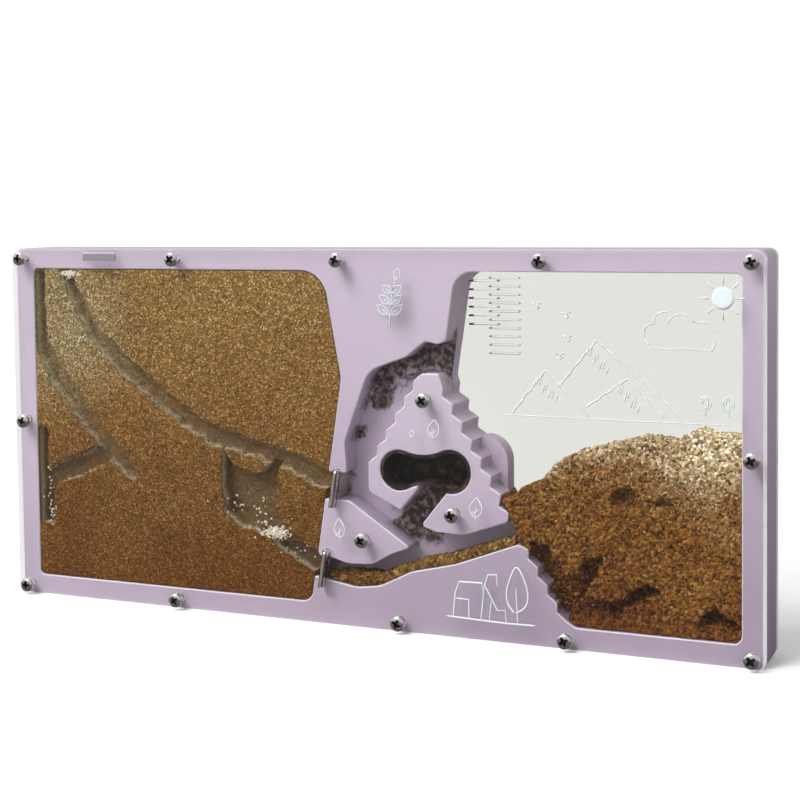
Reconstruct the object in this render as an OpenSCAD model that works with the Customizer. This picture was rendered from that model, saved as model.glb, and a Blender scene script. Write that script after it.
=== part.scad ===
// Ant habitat: a sand nest and an open arena in one flat slab between two clear covers.
// The slab stands on its long edge. X runs right along it, Y from the front to the back,
// Z up. The origin is the middle of the bottom edge.

/* [Slab] */
// Length of the slab
slab_w = 300; // [290:1:330]
// Height of the slab
slab_h = 140; // [136:1:160]
// Rounding of the slab's four corners
corner_r = 3; // [1:0.5:3.5]
// Width of the rim round the nest and the arena
rim = 8; // [7.5:0.5:9]

/* [Layers] */
// Thickness of the clear front cover
front_t = 5; // [3:0.5:6]
// Thickness of the coloured body
body_t = 17; // [14:0.5:22]
// Thickness of the clear back cover
back_t = 3; // [2:0.5:5]
// Depth of the corridors below the body's front face
corridor_d = 10; // [8:0.5:11]

/* [Landscape] */
// Lean of the wall between the nest and the corridors, in degrees
wall_lean = 9; // [6:0.5:11]
// Left lobe of the nest chamber, radius
lobe_left_r = 7.5; // [6.5:0.25:8]
// Right lobe of the nest chamber, radius
lobe_right_r = 8; // [7:0.25:8.5]
// Number of steps down each side of the island
step_n = 5; // [3:1:5]

/* [Gates] */
// Height of a gate plate
gate_h = 13.8; // [12.5:0.1:15]
// Thickness of a gate plate
gate_t = 0.8; // [0.5:0.1:1.2]
// How far a shut gate stands out of the front cover
gate_proud = 0.5; // [0:0.5:4]
// Distance from the nest wall to a gate
gate_set = 4.25; // [3:0.25:5]
// Running clearance of a gate in its slot, each side
gate_gap = 0.25; // [0.15:0.05:0.4]

/* [Screws] */
// Shank diameter of the screws
screw_d = 3; // [2.5:0.1:3.5]
// Clearance round a shank in the layers, each side
screw_gap = 0.2; // [0.1:0.05:0.3]
// Head diameter
head_d = 5.6; // [5:0.1:6.4]
// Head height
head_h = 2.1; // [1.6:0.1:2.6]
// Width of a nut across its flats
nut_af = 5.5; // [5:0.1:6]
// Thickness of a nut
nut_t = 2.4; // [1.8:0.1:3]
// Distance of the rim screws from the slab's edges
screw_inset = 4; // [3.6:0.1:4.5]

/* [Air slits] */
// Height of one slit
slit_h = 0.7; // [0.5:0.1:1]
// Distance from one slit to the next
slit_pitch = 3.05; // [2.5:0.05:3.2]
// Slits in the front cover
front_slits = 6; // [2:1:10]
// Slits in the back cover
back_slits = 10; // [2:1:10]
// Length of a front slit
front_slit_w = 10.6; // [6:0.2:14]
// Length of a back slit
back_slit_w = 11.6; // [6:0.2:14]

/* [Margin plate] */
// Length of the plate
plate_w = 15; // [10:0.5:20]
// Height of the plate
plate_h = 2.8; // [2:0.1:3.4]
// Thickness of the plate
plate_t = 0.6; // [0.4:0.1:1]

/* [Liner] */
// Wall thickness of the nest chamber's dark liner
liner_wall = 1; // [0.8:0.1:1.4]
// Floor thickness of the liner
liner_floor = 1.5; // [1:0.25:3]

/* [Sand] */
// Clearance between the sand and what holds it
sand_gap = 0.3; // [0.2:0.05:0.5]
// Depth of the galleries dug in the nest sand
gallery_d = 7; // [4:0.5:10]
// Depth of the hollows dug in the arena sand
hollow_d = 8; // [4:0.5:11]
// Height of the arena heap at its crest, above the bottom edge
heap_h = 75; // [60:1:85]

/* [Hidden] */
$fn = 48;
arc_step = 10;                 // degrees between two points of a rounded corner
bean_step = 6;                 // the same for the nest chamber
cut = 1;                       // how far a cutting shape runs past a face
seat_gap = 0.2;                // gap behind a piece that is laid in a recess
nut_gap = 0.05;                // gap between a shank and its nut's bore

// Planes across the slab, front to back
total_t = front_t + body_t + back_t;
y_front = -total_t / 2;
y_body = y_front + front_t;
y_floor = y_body + corridor_d;
y_back = y_body + body_t;
y_rear = y_back + back_t;

// Edges of the two windows
win_left = -slab_w / 2 + rim;
win_right = slab_w / 2 - rim;
win_top = slab_h - rim;
win_low = rim;

lilac = [0.76, 0.70, 0.78];
clear = [0.88, 0.93, 0.95, 0.35];
steel = [0.78, 0.77, 0.75];
sand = [0.62, 0.47, 0.22];

// ---------------------------------------------------------------- outline helpers

function unit(v) = v / norm(v);

// Points that round the corner b between a and c
function corner(a, b, c, r) =
    r <= 0 ? [b] :
    let (u = unit(a - b), v = unit(c - b),
         half = acos(u * v) / 2,
         centre = b + unit(u + v) * r / sin(half),
         from = b + u * r / tan(half) - centre,
         to = b + v * r / tan(half) - centre,
         a0 = atan2(from.y, from.x),
         turn = (atan2(to.y, to.x) - a0 + 540) % 360 - 180,
         n = max(1, ceil(abs(turn) / arc_step)))
    [for (i = [0:n]) centre + r * [cos(a0 + turn * i / n), sin(a0 + turn * i / n)]];

// Outline from [x, z, radius] points
function rounded(p) =
    let (n = len(p), at = [for (q = p) [q.x, q.y]])
    [for (i = [0:n - 1]) each
        corner(at[(i + n - 1) % n], at[i], at[(i + 1) % n], p[i].z)];

// Stairs: n steps of a first and a second leg; ra rounds the corner before the first leg,
// rb the corner before the second
function stairs(start, first, second, n, ra, rb) =
    [for (k = [0:n - 1], s = [0, 1])
        let (q = start + k * (first + second) + s * first) [q.x, q.y, s == 0 ? ra : rb]];

// Band of changing width along [x, z, width] points
function side_of(p, i, s) =
    let (a = p[max(i - 1, 0)], b = p[min(i + 1, len(p) - 1)],
         d = unit([b.x - a.x, b.y - a.y]))
    [p[i].x, p[i].y] + s * p[i].z / 2 * [-d.y, d.x];
function band(p) = concat([for (i = [0:len(p) - 1]) side_of(p, i, 1)],
                          [for (i = [len(p) - 1:-1:0]) side_of(p, i, -1)]);

// Stands a drawing of the front view up in space, from y0 to y0 + t
module upright(y0, t) {
    translate([0, y0 + t, 0]) rotate([90, 0, 0]) linear_extrude(t) children();
}

module shape(p) { polygon(rounded(p)); }

// ---------------------------------------------------------------- places in the landscape

// The wall between the nest and the corridors leans to the left on its way down
wall_foot = -18.8;
function wall_x(z) = wall_foot + (z - 8) * tan(wall_lean);
function gate_x(z) = wall_x(z) + gate_set;
knee_z = 92.3;                 // where the nest wall turns back to the left
upper_mouth = [47.2, 57.4];    // bottom and top of the upper corridor's mouth
lower_mouth = [17.6, 25.4];
upper_gate_z = 51.6;
lower_gate_z = 21.2;

// Nest chamber
lobe_left = [17.5, 59.5];
lobe_right = [37.6, 60];
waist_top_r = 19;
waist_low_r = 13;

// Island steps
left_top = [23.6, 92.4];
left_drop = [-0.1, -3.4];
left_run = [-3.55, -2.7];
right_top = [34.8, 87];
right_run = [4.1, -2.58];
right_drop = [-0.5, -3.7];
web_steps = min(2, step_n);    // right-hand steps that the corridor floor follows
shoulder_r = 9.2;
foot_r = 1.1;                  // rounding at the foot of a step
nose_r = 0.4;                  // rounding of its nose

// Scalloped shore of the lower frame
tip = [63.2, 35.7];
shore_top = [67, 34.2];
shore_drop = [-0.1, -3.2];
shore_run = [3.6, -2.85];
shore_n = 4;

rim_screw_x = [-75, -5, 73];   // between the two corners along the top
low_screw_x = [-76, 18, 81.4]; // between the two corners along the bottom
side_screw_z = 70.6;
island_screw_at = [[28.9, 85.9], [39.6, 45.2]];
wedge_screw_at = [[4, 33.4]];
edge_x = slab_w / 2 - screw_inset;
top_screw_at = [for (x = concat(-edge_x, rim_screw_x, edge_x)) [x, slab_h - screw_inset]];
low_screw_at = [for (x = concat(-edge_x, low_screw_x, edge_x)) [x, screw_inset]];
side_screw_at = [for (x = [-edge_x, edge_x]) [x, side_screw_z]];
rim_screw_at = concat(top_screw_at, low_screw_at, side_screw_at);
all_screw_at = concat(rim_screw_at, island_screw_at, wedge_screw_at);

slit_top = win_top - 3;        // centre line of the highest slit
front_slit_x = 46.7;
back_slit_x = 46.6;
plate_at = [-108.5, slab_h - rim / 2 + 0.6];

// ---------------------------------------------------------------- outlines

module slab_outline() {
    h = slab_w / 2;
    shape([[-h, 0, corner_r], [h, 0, corner_r], [h, slab_h, corner_r], [-h, slab_h, corner_r]]);
}

// Nest window; inset draws it smaller for the sand
module nest_outline(inset = 0) {
    shape([[win_left + inset, win_top - inset, 2],
           [-12.5 - inset, win_top - inset, 11 - inset],
           [wall_x(knee_z) - inset, knee_z, 12],
           [wall_x(win_low) - inset, win_low + inset, 4.5 - inset],
           [win_left + inset, win_low + inset, 2]]);
}

// Arena window with the stepped edge of the corridor floor and the scalloped shore
module arena_outline(inset = 0) {
    i = [inset, inset / 2];
    s = [for (q = stairs(right_top, right_run, right_drop, web_steps, foot_r, nose_r))
         [q.x + i.x, q.y + i.y, q.z]];
    f = right_top + web_steps * (right_run + right_drop) + i;
    e = f + right_run;
    b = [for (q = stairs(shore_top, shore_drop, shore_run, shore_n, 0.9, 0.9))
         [q.x + i.x, q.y + i.y, q.z]];
    shape(concat(
        [[40.1 + inset, win_top - inset, 8], [34.4 + inset, 93.4, 1.5],
         [right_top.x - right_drop.x + i.x, right_top.y - right_drop.y + i.y, 1]], s,
        [[f.x, f.y, foot_r], [e.x, e.y, 0], [e.x + 0.6, e.y + 0.5, 0],
         [e.x + 9.9, e.y + 0.5, shoulder_r],
         [e.x + 9.9, 53, 3], [60.2 + inset, 45, 3],
         [tip.x + inset, tip.y + inset, 0.8]], b,
        [[shore_top.x + 14.3 + inset, shore_top.y - 24.4 + i.y, 0.9],
         [84.3 + inset, win_low + inset, 1.2],
         [win_right - inset, win_low + inset, 3],
         [win_right - inset, win_top - inset, 2]]));
}

// Recess of the corridors, open to the nest on the left and to the arena on the right
module corridor_outline() {
    shape([[wall_x(upper_mouth[1]) - cut, upper_mouth[1] + 0.1, 0],
           [-3.6, upper_mouth[1] - 0.2, 1.2], [-4.4, 69, 8], [5.7, 95.6, 9], [20.8, 101, 6],
           [28.2, 106.9, 3], [33.4, 105.8, 2.5], [36.4, 107.3, 0.8], [50, 112, 0],
           [70, 60, 0], [70, tip.y - cut, 0], [tip.x + 0.4, tip.y - 0.4, 0], [tip.x, tip.y, 0.8],
           [39, 26.6, 20], [22, 22.6, 15], [9.5, 16.3, 14], [0, 15, 14],
           [wall_x(lower_mouth[0]) - cut, lower_mouth[0] + 0.1, 0]]);
}

// Bean of two lobes with a waist; inset draws it smaller for the liner
function meet(a, ra, b, rb, side) =         // point that is ra and rb away from a and b
    let (d = norm(b - a), t = (d * d + ra * ra - rb * rb) / (2 * d), u = unit(b - a))
    a + t * u + side * sqrt(ra * ra - t * t) * [-u.y, u.x];
function angle(v) = atan2(v.y, v.x);
function arc(c, r, from, to) =
    let (n = ceil(abs(to - from) / bean_step))
    [for (i = [0:n - 1]) c + r * [cos(from + (to - from) * i / n),
                                  sin(from + (to - from) * i / n)]];
module bean(inset = 0) {
    l = lobe_left;
    r = lobe_right;
    top = meet(l, lobe_left_r + waist_top_r, r, lobe_right_r + waist_top_r, 1);
    low = meet(l, lobe_left_r + waist_low_r, r, lobe_right_r + waist_low_r, -1);
    polygon(concat(
        arc(l, lobe_left_r - inset, angle(top - l), angle(low - l) + 360),
        arc(low, waist_low_r + inset, angle(l - low), angle(r - low)),
        arc(r, lobe_right_r - inset, angle(low - r), angle(top - r)),
        arc(top, waist_top_r + inset, angle(r - top), angle(l - top))));
}

// Slanting passage from the nest chamber down to the corridor
module passage() {
    shape([[26.6, 57, 0], [24.4, 52.6, 1.6], [17.9, 45, 0], [12, 38, 0],
           [20, 34, 0], [27, 41, 0], [36.6, 52.8, 0.8], [37, 57, 0]]);
}

module island_outline() {
    e = right_top + step_n * (right_run + right_drop) + right_run;
    f = left_top + step_n * (left_drop + left_run);
    shape(concat(
        [[27, 95.2, 2.5]], stairs(left_top, left_drop, left_run, step_n, nose_r, foot_r),
        [[f.x, f.y, 0.7], [5.4, 51, 2.5], [17.9, 45, 0.8], [22, 49.8, 0], [27, 41, 0.0],
         [26.8, 39.6, 1.2], [31.5, 37.9, 5], [43, 37.6, 16], [59.3, 43.4, 1.6],
         [59.8, 46.8, 1], [56, 48.9, 0.8], [e.x, e.y, nose_r]],
        [for (k = [step_n:-1:1]) each
            let (q = right_top + k * (right_run + right_drop))
            [[q.x, q.y, foot_r], [q.x - right_drop.x, q.y - right_drop.y, nose_r]]],
        [[right_top.x, right_top.y, foot_r], [35.1, 90, 1.5], [33.4, 95.2, 1.2]]));
}

module wedge_outline() {
    shape([[wall_x(upper_mouth[0]), upper_mouth[0], 0.6], [-2.8, upper_mouth[0], 4],
           [21.6, 31.4, 0.7], [14, 28.4, 8], [6.5, 24, 8], [-3.5, 23.5, 10],
           [-11, 25.4, 6], [wall_x(lower_mouth[1]), lower_mouth[1], 2]]);
}

// ---------------------------------------------------------------- repeated features

module holes(at, y0, t) {
    for (q = at) translate([q.x, y0 - cut, q.y]) rotate([-90, 0, 0])
        cylinder(d = screw_d + 2 * screw_gap, h = t + 2 * cut);
}

module slits(x, y0, t, w, n) {
    for (k = [0:n - 1]) translate([0, 0, slit_top - k * slit_pitch])
        upright(y0 - cut, t + 2 * cut)
            shape([[x, -slit_h / 2, slit_h * 0.4], [x + w, -slit_h / 2, slit_h * 0.4],
                   [x + w, slit_h / 2, slit_h * 0.4], [x, slit_h / 2, slit_h * 0.4]]);
}

// Slot that a gate runs in, down to the corridor floor
module gate_slot(z) {
    w = gate_t / 2 + gate_gap;
    h = gate_h / 2 + gate_gap;
    translate([gate_x(z), y_front - cut, z]) rotate([0, wall_lean, 0])
        translate([-w, 0, -h]) cube([2 * w, front_t + corridor_d + cut, 2 * h]);
}

// Steel plate with its two front corners rounded
module gate(z) {
    len_y = gate_proud + front_t + corridor_d - seat_gap;
    h = gate_h / 2;
    color(steel) translate([gate_x(z), y_front - gate_proud, z]) rotate([0, wall_lean, 0])
        translate([gate_t / 2, 0, 0]) rotate([0, -90, 0]) linear_extrude(gate_t)
            shape([[-h, 0, 1], [h, 0, 1], [h, len_y, 0.3], [-h, len_y, 0.3]]);
}

// Pan head with a cross recess, and the shank through all the layers
module screws(at) {
    tip_y = y_rear + nut_t + 0.4;
    r = head_d / 2;
    dome = head_h * 0.45;
    ball = (r * r + dome * dome) / (2 * dome);
    color(steel) for (q = at) translate([q.x, y_front, q.y]) rotate([90, 0, 0]) difference() {
        union() {
            cylinder(r = r, h = head_h - dome);
            intersection() {
                cylinder(r = r, h = head_h);
                translate([0, 0, head_h - ball]) sphere(ball);
            }
            translate([0, 0, y_front - tip_y]) cylinder(d = screw_d, h = tip_y - y_front + 0.01);
        }
        for (a = [0, 90]) rotate([0, 0, a + 20])
            translate([-1.6, -0.36, head_h - 1.2]) cube([3.2, 0.72, 2]);
    }
}

module nuts(at) {
    color(steel) for (q = at) translate([q.x, y_rear, q.y]) rotate([-90, 0, 0]) difference() {
        cylinder(d = nut_af / cos(30), h = nut_t, $fn = 6);
        translate([0, 0, -cut]) cylinder(d = screw_d + 2 * nut_gap, h = nut_t + 2 * cut);
    }
}

// ---------------------------------------------------------------- sub-parts

module front_cover() {
    color(clear) difference() {
        upright(y_front, front_t) slab_outline();
        holes(all_screw_at, y_front, front_t);
        slits(front_slit_x, y_front, front_t, front_slit_w, front_slits);
        gate_slot(upper_gate_z);
        gate_slot(lower_gate_z);
        translate([plate_at.x, 0, plate_at.y])
            upright(y_front - cut, plate_t + cut) plate_outline(seat_gap);
    }
}

module back_cover() {
    color(clear) difference() {
        upright(y_back, back_t) slab_outline();
        holes(all_screw_at, y_back, back_t);
        slits(back_slit_x, y_back, back_t, back_slit_w, back_slits);
    }
}

module body_frame() {
    color(lilac) difference() {
        upright(y_body, body_t) slab_outline();
        upright(y_body - cut, body_t + 2 * cut) {
            nest_outline();
            arena_outline();
            bean();
        }
        upright(y_body - cut, corridor_d + cut) corridor_outline();
        holes(all_screw_at, y_body, body_t);
        gate_slot(upper_gate_z);
        gate_slot(lower_gate_z);
    }
}

module island_block() {
    color(lilac) difference() {
        upright(y_body, corridor_d) difference() {
            island_outline();
            bean();
            passage();
        }
        holes(island_screw_at, y_body, corridor_d);
    }
}

module wedge_block() {
    color(lilac) difference() {
        upright(y_body, corridor_d) wedge_outline();
        holes(wedge_screw_at, y_body, corridor_d);
        gate_slot(upper_gate_z);
        gate_slot(lower_gate_z);
    }
}

module upper_gate() { gate(upper_gate_z); }

module lower_gate() { gate(lower_gate_z); }

// Dark cup in the nest chamber, open at the front and towards the passage
module nest_liner() {
    depth = body_t - 2 * seat_gap;
    color([0.13, 0.10, 0.09]) difference() {
        upright(y_body + seat_gap, depth) bean(seat_gap);
        upright(y_body - cut, depth - liner_floor + cut) bean(seat_gap + liner_wall);
        upright(y_body - cut, corridor_d + cut) intersection() {
            passage();
            translate([0, 0]) square([60, 54.6]);
        }
    }
}

module plate_outline(grow = 0) {
    w = plate_w / 2 + grow;
    h = plate_h / 2 + grow;
    shape([[-w, -h, 0.9], [w, -h, 0.9], [w, h, 0.9], [-w, h, 0.9]]);
}

module margin_plate() {
    color(steel) translate([plate_at.x, 0, plate_at.y]) upright(y_front, plate_t) plate_outline();
}

// Sand of the nest with the galleries that run against the front cover
module nest_sand() {
    depth = body_t - 2 * sand_gap;
    color(sand) difference() {
        upright(y_body + sand_gap, depth) nest_outline(sand_gap);
        upright(y_body - cut, gallery_d + cut) {
            polygon(band([[-130, 136, 5], [-124, 124, 5], [-113, 106, 5], [-99, 93, 6],
                          [-77, 77, 6], [-60, 68, 7], [-46, 65, 6], [-27, 60, 7],
                          [-16, 56, 8], [-5, 52, 9]]));
            polygon(band([[-140.5, 136, 6], [-140.5, 118, 6], [-139, 103, 6], [-131, 88, 7],
                          [-115, 68, 6], [-105, 58, 6], [-95, 50, 5]]));
            polygon(band([[-106, 60, 7], [-116, 56, 7], [-128, 51, 7], [-138, 46, 8],
                          [-145, 44, 8]]));
            polygon(band([[-140.5, 68, 6], [-140.5, 52, 6], [-139, 42, 9], [-139, 29, 8]]));
            polygon([[-57, 65], [-52, 57], [-44, 54], [-39, 56], [-36, 61], [-32, 60],
                     [-34, 42], [-30, 35], [-38, 32], [-48, 34], [-56, 39]]);
            polygon(band([[-36, 35, 6], [-30, 30, 7], [-22, 26, 7], [-14, 22, 7], [-8, 20, 7]]));
        }
    }
}

// Heap in the arena: its front face with dug hollows, lower behind on the left
module arena_sand() {
    depth = body_t - 2 * sand_gap;
    crest = heap_h;
    color(sand) difference() {
        intersection() {
            upright(y_body + sand_gap, depth) arena_outline(sand_gap);
            upright(y_body, body_t) polygon([[55, 0], [55, 50.5], [61, 52], [64, 55.4],
                [72, 58.6], [77, 65.5], [83, 68.5], [90, 70.5], [99, crest - 2.2],
                [107, crest], [114, crest - 0.6], [119, crest - 1], [122, crest + 1.5],
                [126, crest + 4], [130, crest + 1.8], [142, crest + 2], [160, 60], [160, 0]]);
        }
        upright(y_body - cut, hollow_d + cut) {
            polygon([[69, 36], [74, 37], [75, 31], [78, 28], [82, 25], [88, 30], [90, 26],
                     [88, 17], [98, 18], [110, 25], [114, 22], [104, 16], [97, 12.5],
                     [86, 11.5], [81, 11.5], [77, 17], [72, 23], [69, 30]]);
            polygon([[127, 16], [131, 18.5], [135, 18.5], [138, 16], [141, 12], [137, 11],
                     [134, 13], [129, 11.5]]);
            polygon([[96, 53], [99, 56], [102, 58], [107, 55], [106, 52], [98, 51]]);
            polygon([[112, 54], [117, 55], [119, 52], [113, 51.5]]);
        }
    }
}

// Strip of sand along the bottom of the lower corridor
module tunnel_sand() {
    depth = corridor_d - 2 * sand_gap;
    g = sand_gap;
    color(sand) upright(y_body + sand_gap, depth)
        shape([[gate_x(lower_mouth[0]) + gate_t + 0.6, lower_mouth[0] - 0.4 + g, 0],
               [0, 15 + g, 14], [9.5, 16.3 + g, 14],
               [22 - g, 22.6 + g, 15], [39, 26.6 + g, 20], [tip.x - 1.5, tip.y - 0.5 + g, 0],
               [tip.x - 1.5, tip.y + 3, 0], [49, 34.2, 10], [37, 29.4, 8], [26, 27.2, 8],
               [18, 24, 8], [10, 20.4, 8], [1, 20.2, 5], [-7, 20.4, 0]]);
}

module top_screws() { screws(top_screw_at); }
module bottom_screws() { screws(low_screw_at); }
module side_screws() { screws(side_screw_at); }
module island_screws() { screws(island_screw_at); }
module wedge_screw() { screws(wedge_screw_at); }
module top_nuts() { nuts(top_screw_at); }
module bottom_nuts() { nuts(low_screw_at); }
module side_nuts() { nuts(side_screw_at); }
module island_nuts() { nuts(island_screw_at); }
module wedge_nut() { nuts(wedge_screw_at); }

front_cover();
back_cover();
body_frame();
island_block();
wedge_block();
upper_gate();
lower_gate();
nest_liner();
margin_plate();
nest_sand();
arena_sand();
tunnel_sand();
top_screws();
bottom_screws();
side_screws();
island_screws();
wedge_screw();
top_nuts();
bottom_nuts();
side_nuts();
island_nuts();
wedge_nut();
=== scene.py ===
"""Looks of a flat ant habitat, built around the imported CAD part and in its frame.

A lilac slab stands on its long edge between two clear covers. It holds a sand nest on the left,
an open arena on the right and a stepped landscape of corridors between them. Sizes in the classes
are millimetres of the part's frame: x right, y from front to back, z up. Meshes are in metres.
"""
from __future__ import annotations

import logging
import math
from dataclasses import dataclass, field
from enum import Enum
from functools import partial
from typing import Sequence

import bpy
import numpy as np
from mathutils import Matrix, Vector
from mathutils.geometry import delaunay_2d_cdt

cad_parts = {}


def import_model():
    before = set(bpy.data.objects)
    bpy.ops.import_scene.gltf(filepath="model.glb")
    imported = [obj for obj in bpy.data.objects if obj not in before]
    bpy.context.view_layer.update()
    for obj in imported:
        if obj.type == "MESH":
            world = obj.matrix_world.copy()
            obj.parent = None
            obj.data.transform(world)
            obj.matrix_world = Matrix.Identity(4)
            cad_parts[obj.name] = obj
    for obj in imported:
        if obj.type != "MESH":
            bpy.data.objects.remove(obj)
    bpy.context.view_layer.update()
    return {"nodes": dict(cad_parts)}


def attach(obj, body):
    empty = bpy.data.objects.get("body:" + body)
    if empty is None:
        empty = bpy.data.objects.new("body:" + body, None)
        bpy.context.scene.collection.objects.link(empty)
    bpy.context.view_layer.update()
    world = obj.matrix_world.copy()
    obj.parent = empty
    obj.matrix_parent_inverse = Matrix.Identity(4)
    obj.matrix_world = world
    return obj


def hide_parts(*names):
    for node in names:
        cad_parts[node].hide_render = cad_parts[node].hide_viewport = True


LOG = logging.getLogger("habitat")
MM = 0.001
SEED = 7405

Point = tuple[float, float]
Knot = tuple[float, float, float]
Array = np.ndarray
Faces = list[tuple[int, ...]]
Mesh = tuple[Array, Faces]
Loops = dict[str, list[Point]]
Stops = tuple[tuple[float, str], ...]
Piece = bpy.types.Object
Tree = bpy.types.NodeTree
Socket = bpy.types.NodeSocket

# Planes across the slab, front to back
Y_FRONT, Y_BODY, Y_FLOOR, Y_BACK, Y_REAR = -12.5, -7.5, 2.5, 9.5, 12.5


# ---- small geometry helpers


def polar(at: Sequence[float], radius: float, angle: float) -> Point:
    """Point at a distance and an angle in radians from another."""
    return at[0] + radius * math.cos(angle), at[1] + radius * math.sin(angle)


def round_corner(a: Point, b: Point, c: Point, radius: float, step: float = 6.0) -> list[Point]:
    """Points that round the corner b between a and c.

    Args:
        a, b, c: three corners in a row.
        radius: radius of the rounding, 0 for a sharp corner.
        step: degrees between two points.

    Returns:
        The points of the arc, or b alone.
    """
    if radius <= 0:
        return [b]
    pa, pb, pc = (np.array(p, float) for p in (a, b, c))
    u, v = (pa - pb) / np.linalg.norm(pa - pb), (pc - pb) / np.linalg.norm(pc - pb)
    half = math.acos(max(-1.0, min(1.0, float(u @ v)))) / 2
    centre = pb + (u + v) / np.linalg.norm(u + v) * radius / math.sin(half)
    start = pb + u * radius / math.tan(half) - centre
    end = pb + v * radius / math.tan(half) - centre
    a0 = math.atan2(start[1], start[0])
    turn = (math.degrees(math.atan2(end[1], end[0]) - a0) + 540) % 360 - 180
    n = max(1, math.ceil(abs(turn) / step))
    angles = [a0 + math.radians(turn) * i / n for i in range(n + 1)]
    return [polar(centre, radius, t) for t in angles]


def rounded(knots: Sequence[Knot]) -> list[Point]:
    """Closed outline from (x, z, radius) knots.

    Args:
        knots: corners as (x, z, radius).

    Returns:
        The outline.
    """
    n = len(knots)
    at = [(k[0], k[1]) for k in knots]
    out: list[Point] = []
    for i in range(n):
        out += round_corner(at[i - 1], at[i], at[(i + 1) % n], knots[i][2])
    return out


def stairs(start: Point, first: Point, second: Point, n: int, ra: float, rb: float) -> list[Knot]:
    """Knots of n steps of a first and a second leg, each corner with its own rounding.

    Args:
        start: first knot.
        first, second: the two legs of a step.
        n: how many steps.
        ra, rb: rounding before and after the first leg.

    Returns:
        Two knots for each step.
    """
    out: list[Knot] = []
    for k in range(n):
        x = start[0] + k * (first[0] + second[0])
        z = start[1] + k * (first[1] + second[1])
        out += [(x, z, ra), (x + first[0], z + first[1], rb)]
    return out


def ring(at: Point, radius: float, n: int = 32) -> list[Point]:
    """Circle as a closed outline."""
    return [polar(at, radius, math.tau * i / n) for i in range(n)]


def box(x0: float, z0: float, x1: float, z1: float, radius: float) -> list[Point]:
    """Rectangle with rounded corners."""
    return rounded([(x0, z0, radius), (x1, z0, radius), (x1, z1, radius), (x0, z1, radius)])


def band(line: Sequence[Knot]) -> list[Point]:
    """Closed outline of a band along (x, z, width) points.

    Args:
        line: middle of the band as (x, z, width) points.

    Returns:
        The outline.
    """
    left, right = [], []
    for i, (x, z, w) in enumerate(line):
        a, b = line[max(i - 1, 0)], line[min(i + 1, len(line) - 1)]
        d = math.hypot(b[0] - a[0], b[1] - a[1])
        nx, nz = -(b[1] - a[1]) / d * w / 2, (b[0] - a[0]) / d * w / 2
        left.append((x + nx, z + nz))
        right.append((x - nx, z - nz))
    return left + right[::-1]


def inside(points: Array, loop: Sequence[Point]) -> Array:
    """Even-odd test of many points against one loop.

    Args:
        points: array of shape (n, 2).
        loop: closed outline.

    Returns:
        One boolean for each point.
    """
    p = np.asarray(loop, float)
    q = np.roll(p, -1, axis=0)
    x, z = points[:, 0:1], points[:, 1:2]
    crosses = (p[:, 1] > z) != (q[:, 1] > z)
    dz = np.where(q[:, 1] == p[:, 1], 1e-12, q[:, 1] - p[:, 1])
    at = p[:, 0] + (z - p[:, 1]) * (q[:, 0] - p[:, 0]) / dz
    return (crosses & (x < at)).sum(1) % 2 == 1


def depth_inside(points: Array, loop: Sequence[Point]) -> Array:
    """Signed distance to a loop in millimetres, positive inside.

    Args:
        points: array of shape (n, 2).
        loop: closed outline.

    Returns:
        One distance for each point.
    """
    p = np.asarray(loop, float)
    e = np.roll(p, -1, axis=0) - p
    best = np.full(len(points), 1e9)
    for a, d in zip(p, e):
        t = np.clip(((points - a) @ d) / max(float(d @ d), 1e-9), 0, 1)
        best = np.minimum(best, np.linalg.norm(points - a - t[:, None] * d, axis=1))
    return np.where(inside(points, loop), best, -best)


def value_noise(points: Array, size: float, seed: int) -> Array:
    """Smooth noise from -1 to 1 over a plane.

    Args:
        points: array of shape (n, 2), in millimetres.
        size: distance between two bumps.
        seed: number that picks the pattern.

    Returns:
        One value for each point.
    """
    q = points / size + 1000.0
    cell = np.floor(q).astype(np.int64)
    f = q - cell
    f = f * f * (3 - 2 * f)

    def corner(i: int, j: int) -> Array:
        """Random value of one corner of each cell."""
        h = (cell[:, 0] + i) * 374761393 + (cell[:, 1] + j) * 668265263 + seed * 2147483647
        h = (h ^ (h >> 13)) * 1274126177 & 0x7FFFFFFF
        return ((h ^ (h >> 16)) & 0xFFFF) / 32767.5 - 1.0

    low = corner(0, 0) * (1 - f[:, 0]) + corner(1, 0) * f[:, 0]
    high = corner(0, 1) * (1 - f[:, 0]) + corner(1, 1) * f[:, 0]
    return low * (1 - f[:, 1]) + high * f[:, 1]


def stray(points: Array, size: float, seed: int) -> Array:
    """Smooth random shift of each point of a plane, from -1 to 1 both ways."""
    return np.column_stack([value_noise(points, size, seed), value_noise(points, size, seed + 1)])


def bowl(t: Array) -> Array:
    """Round rise from 0 to 1, steep at its foot."""
    return np.sqrt(1 - (1 - t) ** 2)


def hoop(a: int, b: int, n: int, turned: bool = False) -> Faces:
    """Quads between two rings of n points.

    Args:
        a, b: number of the first point of each ring.
        n: points in a ring.
        turned: whether the faces look the other way.

    Returns:
        One face for each point of a ring.
    """
    quads = [(a + i, a + (i + 1) % n, b + (i + 1) % n, b + i) for i in range(n)]
    return [(p, s, r, q) for p, q, r, s in quads] if turned else quads


def join(parts: Sequence[Mesh]) -> Mesh:
    """Joins the points and faces of several meshes.

    Args:
        parts: points and faces of each mesh.

    Returns:
        All points and all faces.
    """
    faces: Faces = []
    start = 0
    for verts, own in parts:
        faces += [tuple(i + start for i in f) for f in own]
        start += len(verts)
    return np.vstack([verts for verts, _ in parts]), faces


def mark_depth(piece: Piece, depth: Array) -> None:
    """Stores how deep each point of a sand face is dug, in millimetres."""
    layer = piece.data.attributes.new("dug", "FLOAT", "POINT")
    layer.data.foreach_set("value", np.asarray(depth, np.float32))


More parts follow.
